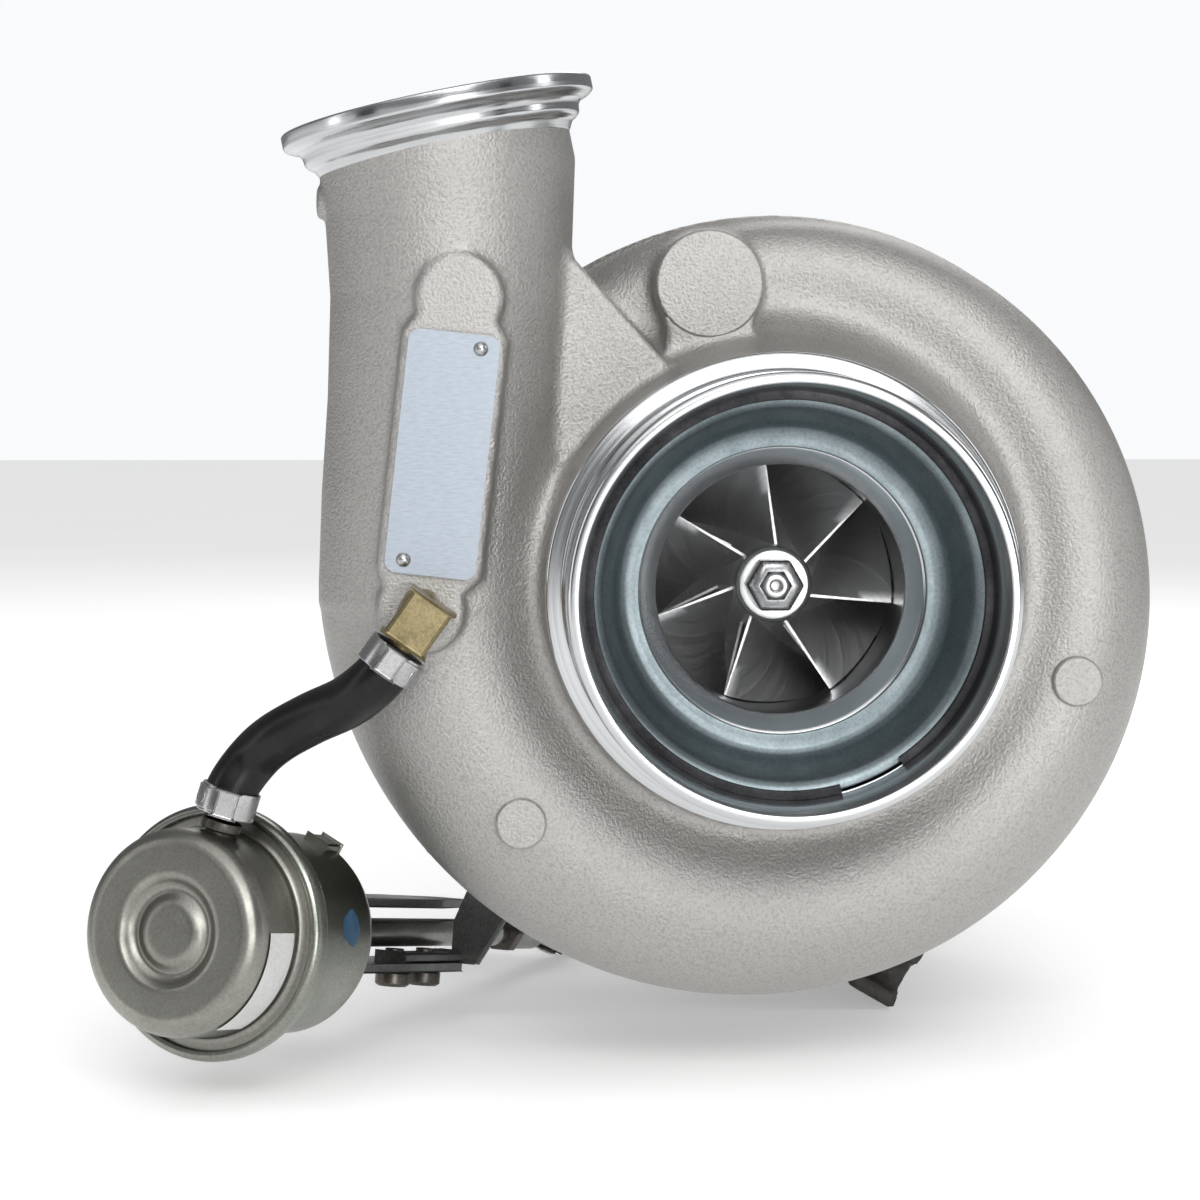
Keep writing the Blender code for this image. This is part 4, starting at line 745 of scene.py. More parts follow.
def compressor_cover():
    cast("cover_casting", cover_field, (-122, -66, -112), (100, 4, 118), "cast_aluminium",
         ["compressor_cover"])
    outside = [(LIP_FRONT, 48.4), (LIP_FRONT, 50.1), (-90.2, 51.0), (-67.0, 51.15), (-65.9, 51.9),
               (-65.4, 55.0), (-64.8, 55.6), (-60.2, 55.6), (-58.6, 54.2), (-40.0, 53.2), (-6.0, 60.0)]
    inside = [(-5.0, 60.0)] + shroud_curve(-31.0, -5.0, SHROUD_RADIUS, 44.5, 18)[::-1]
    inside += [(-45.0, SHROUD_RADIUS - 0.6), (-53.6, SHROUD_RADIUS - 0.6), (-57.6, 33.4), (-58.0, 34.4),
               (-58.0, 46.7), (-75.4, 46.7), (-75.4, 47.8)]
    inside += [(-77.7, 47.8), (-77.7, 46.7), (-79.0, 46.9)]
    for name, (px, py, pz), wide in PADS:
        disc = [(py, 0), (py, wide - 0.5), (py + 0.5, wide), (py + 12.0, wide), (py + 12.0, 0)]
        lathe(name, disc, "cast_aluminium", aim_at((px, 0, pz), (0, 1, 0)),
              nodes=["compressor_cover"], ease=0.15, flats=96)
    lathe("inlet_snout", outside + inside, "snout/cast_aluminium", nodes=["compressor_cover"], ease=0.45,
          flats=192)
    edge = [(-0.6, 80.5), (-0.6, BAND_NECK), (1.25, BAND_NECK), (3.05, BAND_RIM), (COVER_BACK, BAND_RIM),
            (COVER_BACK, 80.5)]
    lathe("cover_rim", edge, "snout/cast_aluminium", nodes=["compressor_cover"])
    flange = [(0, 27.2), (0, 37.5), (-0.4, 37.9), (-3.4, 37.9), (-4.2, 36.8), (-5.0, 34.6), (-6.2, 33.8),
              (-8.0, 33.6), (-8.8, 33.0), (-9.6, 31.6), (-12.0, 30.4), (-12.0, 27.6)]
    lathe("outlet_flange", flange, "outlet_rim/cast_aluminium", aim_at(OUTLET_FACE, OUTLET_AXIS),
          nodes=["compressor_cover"], ease=0.5)


def inlet_pieces():
    profile = [
        (-59.9, 33.6), (-59.9, 35.6), (-60.2, 37.0), (-61.0, 38.2), (-62.4, 39.2), (-64.6, 40.1),
        (-68.0, 41.1),
        (-72.0, 42.3), (-73.6, 43.0), (-74.6, 44.0), (-75.1, 45.2), (-75.1, 46.2),
        (-73.6, 46.2), (-73.4, 44.8), (-58.3, 39.6), (-58.3, 33.6),
    ]
    lathe("baffle", profile, "zinc_plate", nodes=["inlet_baffle"], ease=0.5, flats=192)
    clip = part_turned(eased(ring(-77.4, -76.2, 44.6, 47.3), 0.25), -56, 285, 160)
    piece("snap_ring", clip, "black_steel/dark_steel", nodes=["inlet_snap_ring"])
    outline = [on_plate(a, b) for a, b in rounded(PLATE_SIZE[0] / 2, PLATE_SIZE[1] / 2, 2.4)]
    piece("plate", prism(outline, LAND_FRONT - 1.0, LAND_FRONT - 0.1), "plate_aluminium",
          nodes=["nameplate"], bevel=0.25)
    half_wide, half_high = PLATE_SIZE[0] / 2, PLATE_SIZE[1] / 2
    rivet = [(-1.35, 0), (-1.3, 0.5), (-1.0, 1.1), (-0.45, 1.6), (0.0, 1.75), (3.0, 1.0), (3.0, 0)]
    places = (on_plate(half_wide - 4.1, half_high - 2.9), on_plate(4.1 - half_wide, 2.9 - half_high))
    for name, node, (x, z) in zip(("rivet_top", "rivet_bottom"),
                                  ("nameplate_rivet_top", "nameplate_rivet_bottom"), places):
        frame = aim_at((x, LAND_FRONT - 1.0, z), (0, 1, 0))
        lathe(name, rivet, "hub/clamp_steel", frame, nodes=[node], ease=0.2, flats=32)


# ---------------------------------------------------------------- wheels

def hub_radius(y, front, back, nose, rim):
    share = min(max((y - front) / (back - front), 0.0), 1.0)
    return rim - (rim - nose) * (1 - share ** HUB_CURVE) ** (1 / HUB_CURVE)


def hub_outline(front, back, nose, rim, steps):
    ys = [front + (back - front) * (1 - (1 - step / steps) ** 1.7) for step in range(steps + 1)]
    return [(y, hub_radius(y, front, back, nose, rim)) for y in ys]


def blade(start_angle, hub_line, tip_line, twist, lag, thickness, columns, rows):
    """One thin blade between a hub line and a tip line, closed all round."""
    sides = []
    for side in (-1, 1):
        grid = []
        for column in range(columns + 1):
            share = column / columns
            root_y, root_radius = hub_line(share)
            tip_y, tip_radius = tip_line(share)
            for row in range(rows + 1):
                rise = row / rows
                y = root_y + (tip_y - root_y) * rise
                root = math.radians(start_angle - lag * (1 - share) + twist(share))
                tip = math.radians(start_angle + twist(share))
                x = root_radius * math.cos(root) * (1 - rise) + tip_radius * math.cos(tip) * rise
                z = root_radius * math.sin(root) * (1 - rise) + tip_radius * math.sin(tip) * rise
                radius = math.hypot(x, z)
                half = 0.5 * thickness * (1.35 - 0.6 * rise) * (1.0 if 0 < column else 0.6)
                angle = math.atan2(z, x) + side * half / radius
                grid.append((radius * math.cos(angle), y, radius * math.sin(angle)))
        sides.append(grid)
    count = (columns + 1) * (rows + 1)
    faces = []
    for column in range(columns):
        for row in range(rows):
            a = column * (rows + 1) + row
            b = a + rows + 1
            faces.append([a, b, b + 1, a + 1])
            faces.append([count + a, count + a + 1, count + b + 1, count + b])
    edge = list(range(rows + 1))
    edge += [column * (rows + 1) + rows for column in range(1, columns + 1)]
    edge += [columns * (rows + 1) + row for row in range(rows - 1, -1, -1)]
    edge += [column * (rows + 1) for column in range(columns - 1, 0, -1)]
    for here, there in zip(edge, edge[1:] + edge[:1]):
        faces.append([here, there, count + there, count + here])
    return sides[0] + sides[1], faces


def compressor_blade(start_angle, start_share):
    def hub_line(share):
        part = start_share + (1 - start_share) * share
        y = INDUCER_FRONT + (HUB_BACK - INDUCER_FRONT) * (1 - (1 - part) ** 1.7)
        return y + 0.4 * part, hub_radius(y, INDUCER_FRONT, HUB_BACK, HUB_RADIUS,
                                          EXDUCER_RADIUS) - 0.9 + 0.5 * part

    def tip_line(share):
        part = start_share + (1 - start_share) * share
        y = INDUCER_FRONT + (TIP_BACK - INDUCER_FRONT) * (1 - (1 - part) ** 1.6)
        bend = ((y - INDUCER_FRONT) / (TIP_BACK - INDUCER_FRONT)) ** SHROUD_CURVE
        return y, EXDUCER_RADIUS - (EXDUCER_RADIUS - INDUCER_RADIUS) * (1 - bend) ** (1 / SHROUD_CURVE)

    def twist(share):
        part = start_share + (1 - start_share) * share
        return 62.0 * (1 - (1 - part) ** 1.8)

    return blade(start_angle, hub_line, tip_line, twist, 11.0, 0.9, 22, 10)


def rotor():
    nose = [(-38.0, STUB_RADIUS + 0.3), (-38.0, 8.4), (-37.2, 9.2), (-33.5, 9.3)]
    outline = nose + hub_outline(INDUCER_FRONT, HUB_BACK, HUB_RADIUS, EXDUCER_RADIUS, 24)
    outline += [(-0.4, EXDUCER_RADIUS), (-0.4, STUB_RADIUS + 0.3)]
    hub = turned(outline, 120)
    pitch = 360 / BLADE_COUNT
    blades = [compressor_blade(FIRST_BLADE + pitch * index, 0) for index in range(BLADE_COUNT)]
    blades += [compressor_blade(FIRST_BLADE + pitch * (index + 0.5),
                                0.28) for index in range(BLADE_COUNT)]
    piece("wheel", joined([hub] + blades), "wheel_aluminium", body="rotor",
          nodes=["compressor_wheel"], sharp=42)
    collar = [(-38.35, STUB_RADIUS + 0.4), (-38.35, 8.2), (-37.3, 9.32), (-35.0, 9.42),
              (-35.0, STUB_RADIUS + 0.4)]
    lathe("wheel_face", collar, "hub/wheel_aluminium", body="rotor", nodes=["compressor_wheel"],
          ease=0.25)
    nut = [(-43.0, STUB_RADIUS + 0.3), (-43.0, 5.6), (-42.4, 6.6), (-42.0, 6.93), (-38.6, 6.93),
           (-38.6, STUB_RADIUS + 0.3)]
    piece("nose_nut", turned(nut, 6), "nut_steel/dark_steel", body="rotor", nodes=["compressor_nut"],
          bevel=0.25)
    spindle = [
        (-41.6, 0), (-41.6, 1.2), (-44.0, 1.5), (-44.0, 2.6), (-43.3, 3.4), (21.4, 3.4), (21.4, 6.3),
        (54.5, 6.3),
        (55.5, 8.5), (60.5, 8.5), (60.5, 7.3), (61.9, 7.3), (61.9, 8.5), (70.4, 8.5), (70.4, 0),
    ]
    lathe("spindle", spindle, "hub/machined_steel", body="rotor", nodes=["shaft"], ease=0.3, flats=64)
    front, rear = TURBINE_BACK, TURBINE_END
    back_hub = [(front + rear - y, radius) for y,
                radius in hub_outline(front + 2.6, rear, TURBINE_HUB, TURBINE_DISC, 18)]
    outline = [(front, 0), (front, TURBINE_DISC), (front + 2.2, TURBINE_DISC)] + back_hub[::-1]
    outline += [(rear + 4.0, 8.2), (rear + 5.4, 6.6), (rear + 6, 0)]

    def hub_line(share):
        y = front + 2.4 + (rear - front - 4.4) * share
        return y, hub_radius(rear + front + 2.6 - y, front + 2.6, rear, TURBINE_HUB, TURBINE_DISC) - 1.0

    def tip_line(share):
        y = front + 3.0 + (rear - front - 4.0) * share
        return y, 37.6 - 6.8 * min(max((y - 83.0) / 14.0, 0.0), 1.0) ** 0.8

    blades = [blade(360 / TURBINE_BLADES * index, hub_line, tip_line, lambda share: -48.0 * share ** 2.2,
                    0.0, 1.5, 16, 6)
              for index in range(TURBINE_BLADES)]
    piece("hot_wheel", joined([turned(outline, 96)] + blades), "turbine_alloy", body="rotor",
          nodes=["turbine_wheel"], sharp=42)


# ---------------------------------------------------------------- clamps and bearing housing

def v_band(prefix, front, back, neck, rim, angle, look):
    """A clamp round two rims, with its bolt and nut at an angle around the shaft."""
    slope, middle, turn = 1.85, (front + back) / 2, math.radians(angle)
    out = Vector((math.cos(turn), 0.0, math.sin(turn)))
    tangent = Vector((-math.sin(turn), 0.0, math.cos(turn)))
    seat = out * (rim + 8.0) + Vector((0.0, middle, 0.0))
    profile = [
        (front - 1.15, neck + 0.4), (front - 0.2, neck + 0.4), (front - 0.2 + slope, rim + 0.4),
        (back + 0.2 - slope, rim + 0.4), (back + 0.2, neck + 0.4), (back + 1.15, neck + 0.4),
        (back + 1.15, neck + 2.3), (back - 0.45, rim + 2.3), (front + 0.45, rim + 2.3),
        (front - 1.15, neck + 2.3),
    ]
    gap = math.degrees(3.2 / rim)
    band = part_turned(eased(profile, 0.5), angle + gap, angle + 360 - gap, ROUND)
    lug_frame = axes_at(seat, out, tangent, out.cross(tangent))
    lugs = [placed(block((-6.6, side * 6.5 - 3.0, -5.0), (6.5, side * 6.5 + 3.0, 5.0)),
                   lug_frame) for side in (-1, 1)]
    piece(f"{prefix}_clamp", band, look, nodes=[f"{prefix}_v_band"])
    piece(f"{prefix}_clamp_lugs", joined(lugs), look, nodes=[f"{prefix}_v_band"], bevel=0.8)
    bolt_frame = aim_at(seat + out * 1.5, tangent)
    bolt = [(-14.6, 0), (-14.6, 4.0), (-14.0, 4.6), (-9.8, 4.6), (-9.8, 3.0), (19.0, 3.0), (19.0, 0)]
    lathe(f"{prefix}_t_bolt", bolt, look, bolt_frame, nodes=[f"{prefix}_v_band_bolt"], flats=SMALL_ROUND)
    piece(f"{prefix}_t_nut", hexagon(9.8, 14.8, 3.2, 5.6), look, bolt_frame,
          nodes=[f"{prefix}_v_band_nut"], bevel=0.3)


def part_turned(profile, start, end, segments):
    """A profile turned through part of a circle, closed at both ends."""
    points = []
    for step in range(segments + 1):
        angle = math.radians(start + (end - start) * step / segments)
        points += [(radius * math.cos(angle), along, radius * math.sin(angle)) for along,
                   radius in profile]
    return points, ring_faces(segments + 1, len(profile))


def backplate():
    plate = [
        (0.3, 8.0), (0.3, 80.0), (2.4, 80.0), (2.4, 77.5), (5.1, 77.5), (5.1, 80.0), (6.3, 80.0),
        (6.3, BAND_RIM),
        (9.0, BAND_RIM), (10.8, BAND_NECK), (10.8, 70.0), (12.2, 67.0), (12.2, 58.0), (14.0, 54.0),
        (14.0, 11.8),
        (13.0, 11.8), (13.0, 8.0),
    ]
    lathe("back_plate", plate, "cast_iron", nodes=["compressor_backplate"], ease=0.7)


# Offset from the ports' middle, radius, height where the hole ends, and 1 where it goes up
OIL_HOLES = (
    (0.0, 4.0, 12.0, 1), (0.0, 9.4, -5.0, -1),
    (-9.0, 2.6, 36.0, 1), (9.0, 2.6, 36.0, 1), (-14.4, 2.2, -44.0, -1), (14.4, 2.2, -44.0, -1),
)


def bearing_field(x, y, z):
    reach = np.sqrt(x * x + z * z)
    body = revolved_field(reach, y, [
        (14.4, 51.6), (20.0, 51.6), (22.0, 48.0), (24.0, 43.5), (27.0, 37.5), (32.0, 34.0), (44.0, 34.0),
        (49.0, 37.5), (53.0, 45.0), (56.6, 50.5),
    ])
    upper = soft_max(polygon_field(rounded(11, 14, 4, 6), x, y - PORTS_MIDDLE), slab(z, 20.0, 48.0), 0.8)
    lower = soft_max(polygon_field(rounded(16, 18, 6, 6), x, y - PORTS_MIDDLE), slab(z, -54.0, -46.0),
                     0.8)
    stem = np.maximum(np.sqrt(x * x + (y - PORTS_MIDDLE) ** 2) - 14.7, slab(z, -49.0, -10.0))
    body = soft_min(soft_min(body, upper, 4.0), soft_min(lower, stem, 3.0), 4.0)
    dx, dy, dz = x - CAN_REAR.x, y - CAN_REAR.y, z - CAN_REAR.z
    across = dx * ROD_SIDE.x + dy * ROD_SIDE.y
    along = dx * ROD_AXIS.x + dy * ROD_AXIS.y + dz * ROD_AXIS.z
    above = dx * ROD_UP.x + dy * ROD_UP.y + dz * ROD_UP.z
    outline = [(44, 66), (56, 54), (90, 84), (82, 100)]
    arm = soft_max(polygon_field(outline, across, above), slab(along, 71.4, 79.5), 1.0)
    body = soft_min(body, arm, 3.0)
    for offset, radius, foot, sign in OIL_HOLES:
        hole = np.sqrt(x * x + (y - PORTS_MIDDLE - offset) ** 2) - radius
        body = cut(body, np.maximum(hole, sign * (foot - z)))
    return np.maximum(body, 18.0 - reach)


def bearing_housing():
    cast("bearing_casting", bearing_field, (-62, 13, -58), (58, 66, 54), "cast_iron",
         ["bearing_housing"])
    rim = [(56.0, 18.0), (56.0, 50.0), (57.2, TURBINE_NECK), (59.0, TURBINE_RIM), (64.0, TURBINE_RIM),
           (64.0, 18.0)]
    lathe("bearing_rim", rim, "heat_steel/cast_iron", nodes=["bearing_housing"])


# ---------------------------------------------------------------- turbine housing

def turbine_scroll_field(x, y, z, wall):
    """The turbine's scroll, larger by the wall."""
    position = np.degrees(np.arctan2(z, x))
    position = np.where(position < -90.0, position + 360.0, position)
    position = np.clip(position, -53.0, 237.0)
    inner = 9.0 + 12.0 * (position + 60.0) / 297.0
    reach = 41.0 + inner
    angle = np.radians(position)
    dx = x - reach * np.cos(angle)
    dz = z - reach * np.sin(angle)
    dy = y - 77.5 - inner
    return np.sqrt(dx * dx + dy * dy + dz * dz) - inner - wall


def inlet_axes(x, y, z):
    along = x * INLET_NORMAL.x + z * INLET_NORMAL.z
    side = x * INLET_SIDE.x + z * INLET_SIDE.z
    return along, side, y - INLET_MIDDLE


def oval_channel(along, side, deep, reaches, sides, wides, deeps, middle=0.0):
    """A straight channel of ellipses, whose size and place follow the reach along it."""
    order = np.argsort(reaches)
    reaches = np.array(reaches)[order]
    centre = np.interp(along, reaches, np.array(sides)[order])
    wide = np.interp(along, reaches, np.array(wides)[order])
    tall = np.interp(along, reaches, np.array(deeps)[order])
    offset = np.interp(along, reaches, np.array(middle)[order]) if isinstance(middle,
                                                                              (list, tuple)) else middle
    shape = np.sqrt(((side - centre) / wide) ** 2 + ((deep - offset) / tall) ** 2) - 1.0
    return np.maximum(shape * np.minimum(wide, tall), slab(along, reaches[0], reaches[-1]))


def neck_sizes(wall):
    """Reaches, sides, widths and depths of the passage from the inlet flange to the scroll."""
    reaches, sides, wides, deeps = [], [], [], []
    for step in range(13):
        share = step / 12
        ease = share * share * (3 - 2 * share)
        reaches.append(89.0 - 92.0 * share)
        sides.append(INLET_DROP - 17.0 * ease)
        wides.append(29.0 - 8.0 * ease + wall)
        deeps.append(46.0 - 25.0 * ease ** 0.8 + wall)
    return reaches, sides, wides, deeps


def turbine_field(x, y, z):
    reach = np.sqrt(x * x + z * z)
    along, side, deep = inlet_axes(x, y, z)
    neck = oval_channel(along, side, deep, *neck_sizes(4.5))
    neck = cut(neck, np.maximum(reach - 60.5, y - 72.8))
    body = revolved_field(reach, y, [
        (71.2, 51.5), (73.0, 52.5), (78.0, 56.0), (98.0, 59.0), (114.0, 60.8), (118.0, 63.5),
        (121.0, 67.2),
        (124.0, 68.0), (147.0, 68.0), (151.0, 65.5), (159.0, 53.5), (164.0, 47.5), (168.0, 46.5),
        (176.0, 46.5),
    ])
    scroll = turbine_scroll_field(x, y, z, 4.0)
    body = soft_min(soft_min(scroll, neck, 5.0), body, 6.0)
    plate = np.maximum(np.abs(side - INLET_DROP) - 31.0, 0.0) ** 2 + np.maximum(np.abs(deep) - 51.0,
                                                                                0.0) ** 2
    plate = soft_max(np.sqrt(plate) - 9.0, slab(along, INLET_REACH - 14.0, INLET_REACH), 1.2)
    body = soft_min(body, plate, 3.0)
    boss = cylinder_field(x, y, z, PIVOT_PLACE, PIVOT_AXIS, 15.4, 12.5, 84.0, 1.6)
    step_ring = cylinder_field(x, y, z, PIVOT_PLACE, PIVOT_AXIS, 16.6, 22.0, 60.0, 1.2)
    body = soft_min(body, soft_min(boss, step_ring, 1.0), 4.0)
    exit_bore = np.interp(y, [100.0, 106.0, 123.5, 124.0, 147.0, 158.0, 163.0, 181.0],
                          [31.7, 31.7, 35.0, 64.0, 64.0, 47.0, 42.0, 42.0])
    body = cut(body, np.maximum(reach - exit_bore, 98.0 - y))
    body = cut(body, np.maximum(reach - 46.0, y - 88.0))
    port = np.sqrt((x - FLAP_PLACE.x) ** 2 + (z - FLAP_PLACE.z) ** 2)
    seat = np.maximum(port - 14.4, slab(y, 112.0, 124.4))
    body = cut(np.minimum(body, seat), np.maximum(port - 10.5, slab(y, 104.0, 127.0)))
    for sign in (-1, 1):
        reaches, sides = (101, 88, 50), [INLET_DROP - (97 - r) * 0.08 for r in (101, 88, 50)]
        port = oval_channel(along, side, deep, reaches, sides, (25, 24, 21), (21.5, 21, 14),
                            [sign * 25.5, sign * 25.0, sign * 16.5])
        body = cut(body, port)
    for across in (-31.0, 31.0):
        for out in (-51.5, 51.5):
            hole = np.sqrt((side - INLET_DROP - across) ** 2 + (deep - out) ** 2) - 4.8
            body = cut(body, np.maximum(hole, 80.0 - along))
    bore = cylinder_field(x, y, z, PIVOT_PLACE, PIVOT_AXIS, 7.0, 8.0, 76.0, 0.3)
    pocket = cylinder_field(x, y, z, PIVOT_PLACE, PIVOT_AXIS, 10.8, 72.5, 92.0, 0.3)
    return cut(cut(body, bore), pocket)


def turbine_housing():
    cast("turbine_casting", turbine_field, (-104, 46, -134), (112, 178, 76), "cast_iron",
         ["turbine_housing"], step=1.5)
    rim = [(64.3, 50.3), (64.3, TURBINE_RIM), (69.3, TURBINE_RIM), (71.1, TURBINE_NECK), (73.0, 51.5),
           (73.0, 46.5),
           (66.8, 50.0)]
    lathe("turbine_rim", rim, "heat_steel/cast_iron", nodes=["turbine_housing"])
    exit_rim = [(166.0, 43.0), (166.0, 46.8), (171.0, 47.0), (172.6, 51.2), (173.4, 52.0), (177.4, 52.0),
                (178.0, 51.4),
                (178.0, 42.0), (168.0, 42.0)]
    lathe("exit_rim", exit_rim, "heat_steel/cast_iron", nodes=["turbine_housing"])


# ---------------------------------------------------------------- lever and valve

def bar(length, start_half, end_half, low, high):
    """A flat bar with round ends, from the origin along X."""
    outline = arc((0, 0), start_half, 90, 270, 24) + arc((length, 0), end_half, -90, 90, 24)
    return prism(outline, low, high)


def wastegate():
    pin_frame = PIVOT @ Matrix.Translation((LEVER_ARM, 0, 0))
    flap_frame = aim_at((FLAP_PLACE.x, 0, FLAP_PLACE.z), (0, 1, 0))
    piece("lever", bar(LEVER_ARM, 8.5, 6.5, 3.6, 8.6), "dark_steel", PIVOT, "lever",
          ["wastegate_lever"], bevel=0.6)
    lathe("lever_spindle", rod(2.2, FLAP_REACH + 6.5, 4.0), "heat_steel", PIVOT, "lever",
          ["wastegate_shaft"], flats=SMALL_ROUND)
    bush = [(10.3, 4.35), (10.3, 9.0), (12.2, 9.0), (12.2, 6.7), (66.0, 6.7), (66.0, 4.35)]
    lathe("spindle_bush", bush, "bronze", PIVOT, nodes=["wastegate_bush"], flats=SMALL_ROUND)
    pin = [(-5.8, 0), (-5.8, 3.2), (-5.0, 3.2), (-5.0, 2.4), (-3.9, 2.4), (-3.9, 3.2), (9.4, 3.2),
           (9.4, 0)]
    lathe("linkage_pin", pin, "machined_steel", pin_frame, "lever", ["lever_pin"], 0.3, SMALL_ROUND)
    clip = part_turned(eased(ring(-4.8, -4.1, 2.7, 5.6), 0.2), 18, 342, 40)
    piece("linkage_clip", clip, "dark_steel", pin_frame, "lever", ["rod_clip"])
    valve = [(123.9, 0), (123.9, 13.2), (127.0, 13.6), (128.2, 12.6), (128.9, 6.0), (128.9, 3.4),
             (139.0, 3.4), (139.0, 0)]
    lathe("valve_disc", valve, "heat_steel", flap_frame, "lever", ["wastegate_valve"], 0.5, 64)


# ---------------------------------------------------------------- actuator

def actuator():
    f = CAP_FRONT
    cap = [
        (f + 1.0, 0), (f + 1.0, 5.5), (f + 1.1, 6.6), (f + 1.5, 7.6), (f + 2.2, 8.6), (f + 2.7, 9.6),
        (f + 2.6, 10.6),
        (f + 1.9, 11.6), (f + 0.9, 12.4), (f + 0.2, 13.2), (f, 14.2), (f, 20.4), (f + 0.4, 22.0),
        (f + 1.5, 23.4),
        (f + 3.0, 24.3), (f + 4.8, 24.7), (-39.6, 24.9), (-38.9, 25.3), (-38.5, 26.2), (-38.3, 29.3),
        (-36.9, 29.3), (-36.9, 23.8),
        (f + 6.2, 23.8), (f + 2.6, 20.0), (f + 1.4, 15.0), (f + 4.2, 11.0), (f + 2.5, 6.0), (f + 2.4, 0),
    ]
    lathe("cap", cap, "yellow_zinc", ACTUATOR, nodes=["actuator_cap"], ease=0.6, flats=160)
    can = [
        (-39.6, 28.2), (-39.7, 29.5), (-39.0, 30.5), (-37.9, 30.8), (-35.6, 30.8), (-34.2, 30.2),
        (-33.6, 29.0),
        (-33.2, 26.2), (-32.4, 25.2), (-31.0, 25.0), (-4.4, 25.0), (-1.9, 24.0), (-0.5, 22.2),
        (0.0, 20.0), (0.0, 5.3),
        (-1.3, 5.3), (-1.3, 19.6), (-2.4, 22.3), (-5.2, 23.8), (-34.8, 23.8), (-34.8, 29.7),
        (-38.5, 29.7), (-38.5, 28.2),
    ]
    lathe("can", can, "green_zinc/yellow_zinc", ACTUATOR, nodes=["actuator_can"], ease=0.5, flats=160)
    studs = [placed(turned(eased(rod(-0.9, 10.0, 2.7), 0.4), 24), aim_at((u, 0, v), (0, 1, 0))) for u,
             v in STUD_PLACES]
    piece("can_studs", joined(studs), "dark_steel", ACTUATOR, nodes=["actuator_can"])
    lug = placed(block((-3.0, -4.0, -1.0), (3.0, 3.4, 1.6)),
                 aim_at((10.6, -6.6, 22.5), (0, 1, 0), (0.905, 0, -0.425)))
    piece("can_lug", lug, "green_zinc/yellow_zinc", ACTUATOR, nodes=["actuator_can"], bevel=0.5)
    piece("cap_label", wrapped(-60, 4, -51.6, -41.2, CAN_RADIUS + 0.05, 0.1), "label/yellow_zinc",
          ACTUATOR,
          nodes=["actuator_cap"])
    dab = [(7.0 + 10.0 * math.cos(a) * (1 + 0.16 * math.sin(3 * a)), -14.0 + 3.9 * math.sin(a))
           for a in [2 * math.pi * k / 24 for k in range(24)]]
    piece("paint_dab", wrapped_spot(dab, CAN_RADIUS + 0.03, 0.05), "paint_dab/yellow_zinc", ACTUATOR,
          nodes=["actuator_can"])
    line = [(-31.3, 0), (-31.3, 3.8), (111.6, 3.8), (113.4, 2.9), (131.0, 2.9), (131.0, 0)]
    lathe("push_rod", line, "rod_steel/machined_steel", ACTUATOR, "rod", ["actuator_rod"], 0.4, 64)
    piece("push_rod_nut", hexagon(117.0, 121.0, 2.95, 5.8), "dark_steel", ACTUATOR, "rod",
          ["rod_locknut"], bevel=0.4)
    shank = turned(eased([(121.5, 0), (121.5, 4.8), (136.0, 4.8), (144.0, 2.6), (144.0, 0)], 0.4),
                   SMALL_ROUND)
    axis = Vector((PIVOT_AXIS.dot(ROD_SIDE), 0.0, PIVOT_AXIS.dot(ROD_UP)))
    eye = placed(turned(eased(ring(-3.0, 3.0, 3.9, 8.2), 0.5), 64),
                 aim_at((0, ROD_PIN_REACH, 0), axis, (0.1, 1, 0)))
    piece("push_rod_eye", joined([shank, eye]), "rod_steel/machined_steel", ACTUATOR, "rod", ["rod_end"])


def soft_inside():
    """The diaphragm and the spring, which stretch between the rod and the can."""
    centre = [
        (-36.4, 0), (-36.4, 20.3), (-32.4, 20.3), (-32.4, 19.7), (-35.4, 19.7), (-35.4, 0),
    ]
    lathe("diaphragm_centre", centre, "rubber", ACTUATOR, "rod", ["diaphragm"], 0.3, 96)
    wall = [(-32.4 - 3.2 * step / 10, 20.4 + 2.4 * step / 10) for step in range(11)]
    roll = wall + [(-35.6, 29.0), (-36.4, 29.0), (-36.4, 22.4)]
    roll += [(-36.0 + 3.4 * step / 10, 22.1 - 2.2 * step / 10) for step in range(11)]
    rolling = piece("diaphragm_roll", turned(roll, 96), "rubber", ACTUATOR, None, ["diaphragm"])
    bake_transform(rolling)
    turns, steps, coil = 4.5, 40, 14.6
    path = []
    for step in range(int(turns * steps) + 1):
        angle = 2 * math.pi * step / steps
        rise = -31.9 + 28.8 * step / (turns * steps)
        path.append((coil * math.cos(angle), rise, coil * math.sin(angle)))
    spring = piece("spring_coil", along_path(path, 1.25, 16), "rod_steel/machined_steel", ACTUATOR, None,
                   ["actuator_spring"])
    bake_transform(spring)


def wrapped(start, end, low, high, radius, thick):
    """A thin patch lying on the can, between two angles and two heights."""
    profile = [(low, radius), (low, radius + thick), (high, radius + thick), (high, radius)]
    return part_turned(profile, start, end, 40)


def wrapped_spot(outline, radius, thick):
    """An outline of (degrees, height) points laid on the can as rings that shrink to its middle."""
    middle = [sum(point[axis] for point in outline) / len(outline) for axis in (0, 1)]
    flat = [[middle[axis] + (point[axis] - middle[axis]) * share for axis in (0, 1)]
            for share in (1.0, 0.75, 0.5, 0.25, 0.05) for point in outline]
    count = len(outline)
    spots = [(radius - 0.4, angle, height) for angle, height in flat[:count]]
    spots += [(radius + thick, angle, height) for angle, height in flat]
    points = [(r * math.cos(math.radians(a)), h, r * math.sin(math.radians(a))) for r, a, h in spots]
    return points, ring_faces(len(points) // count, count)


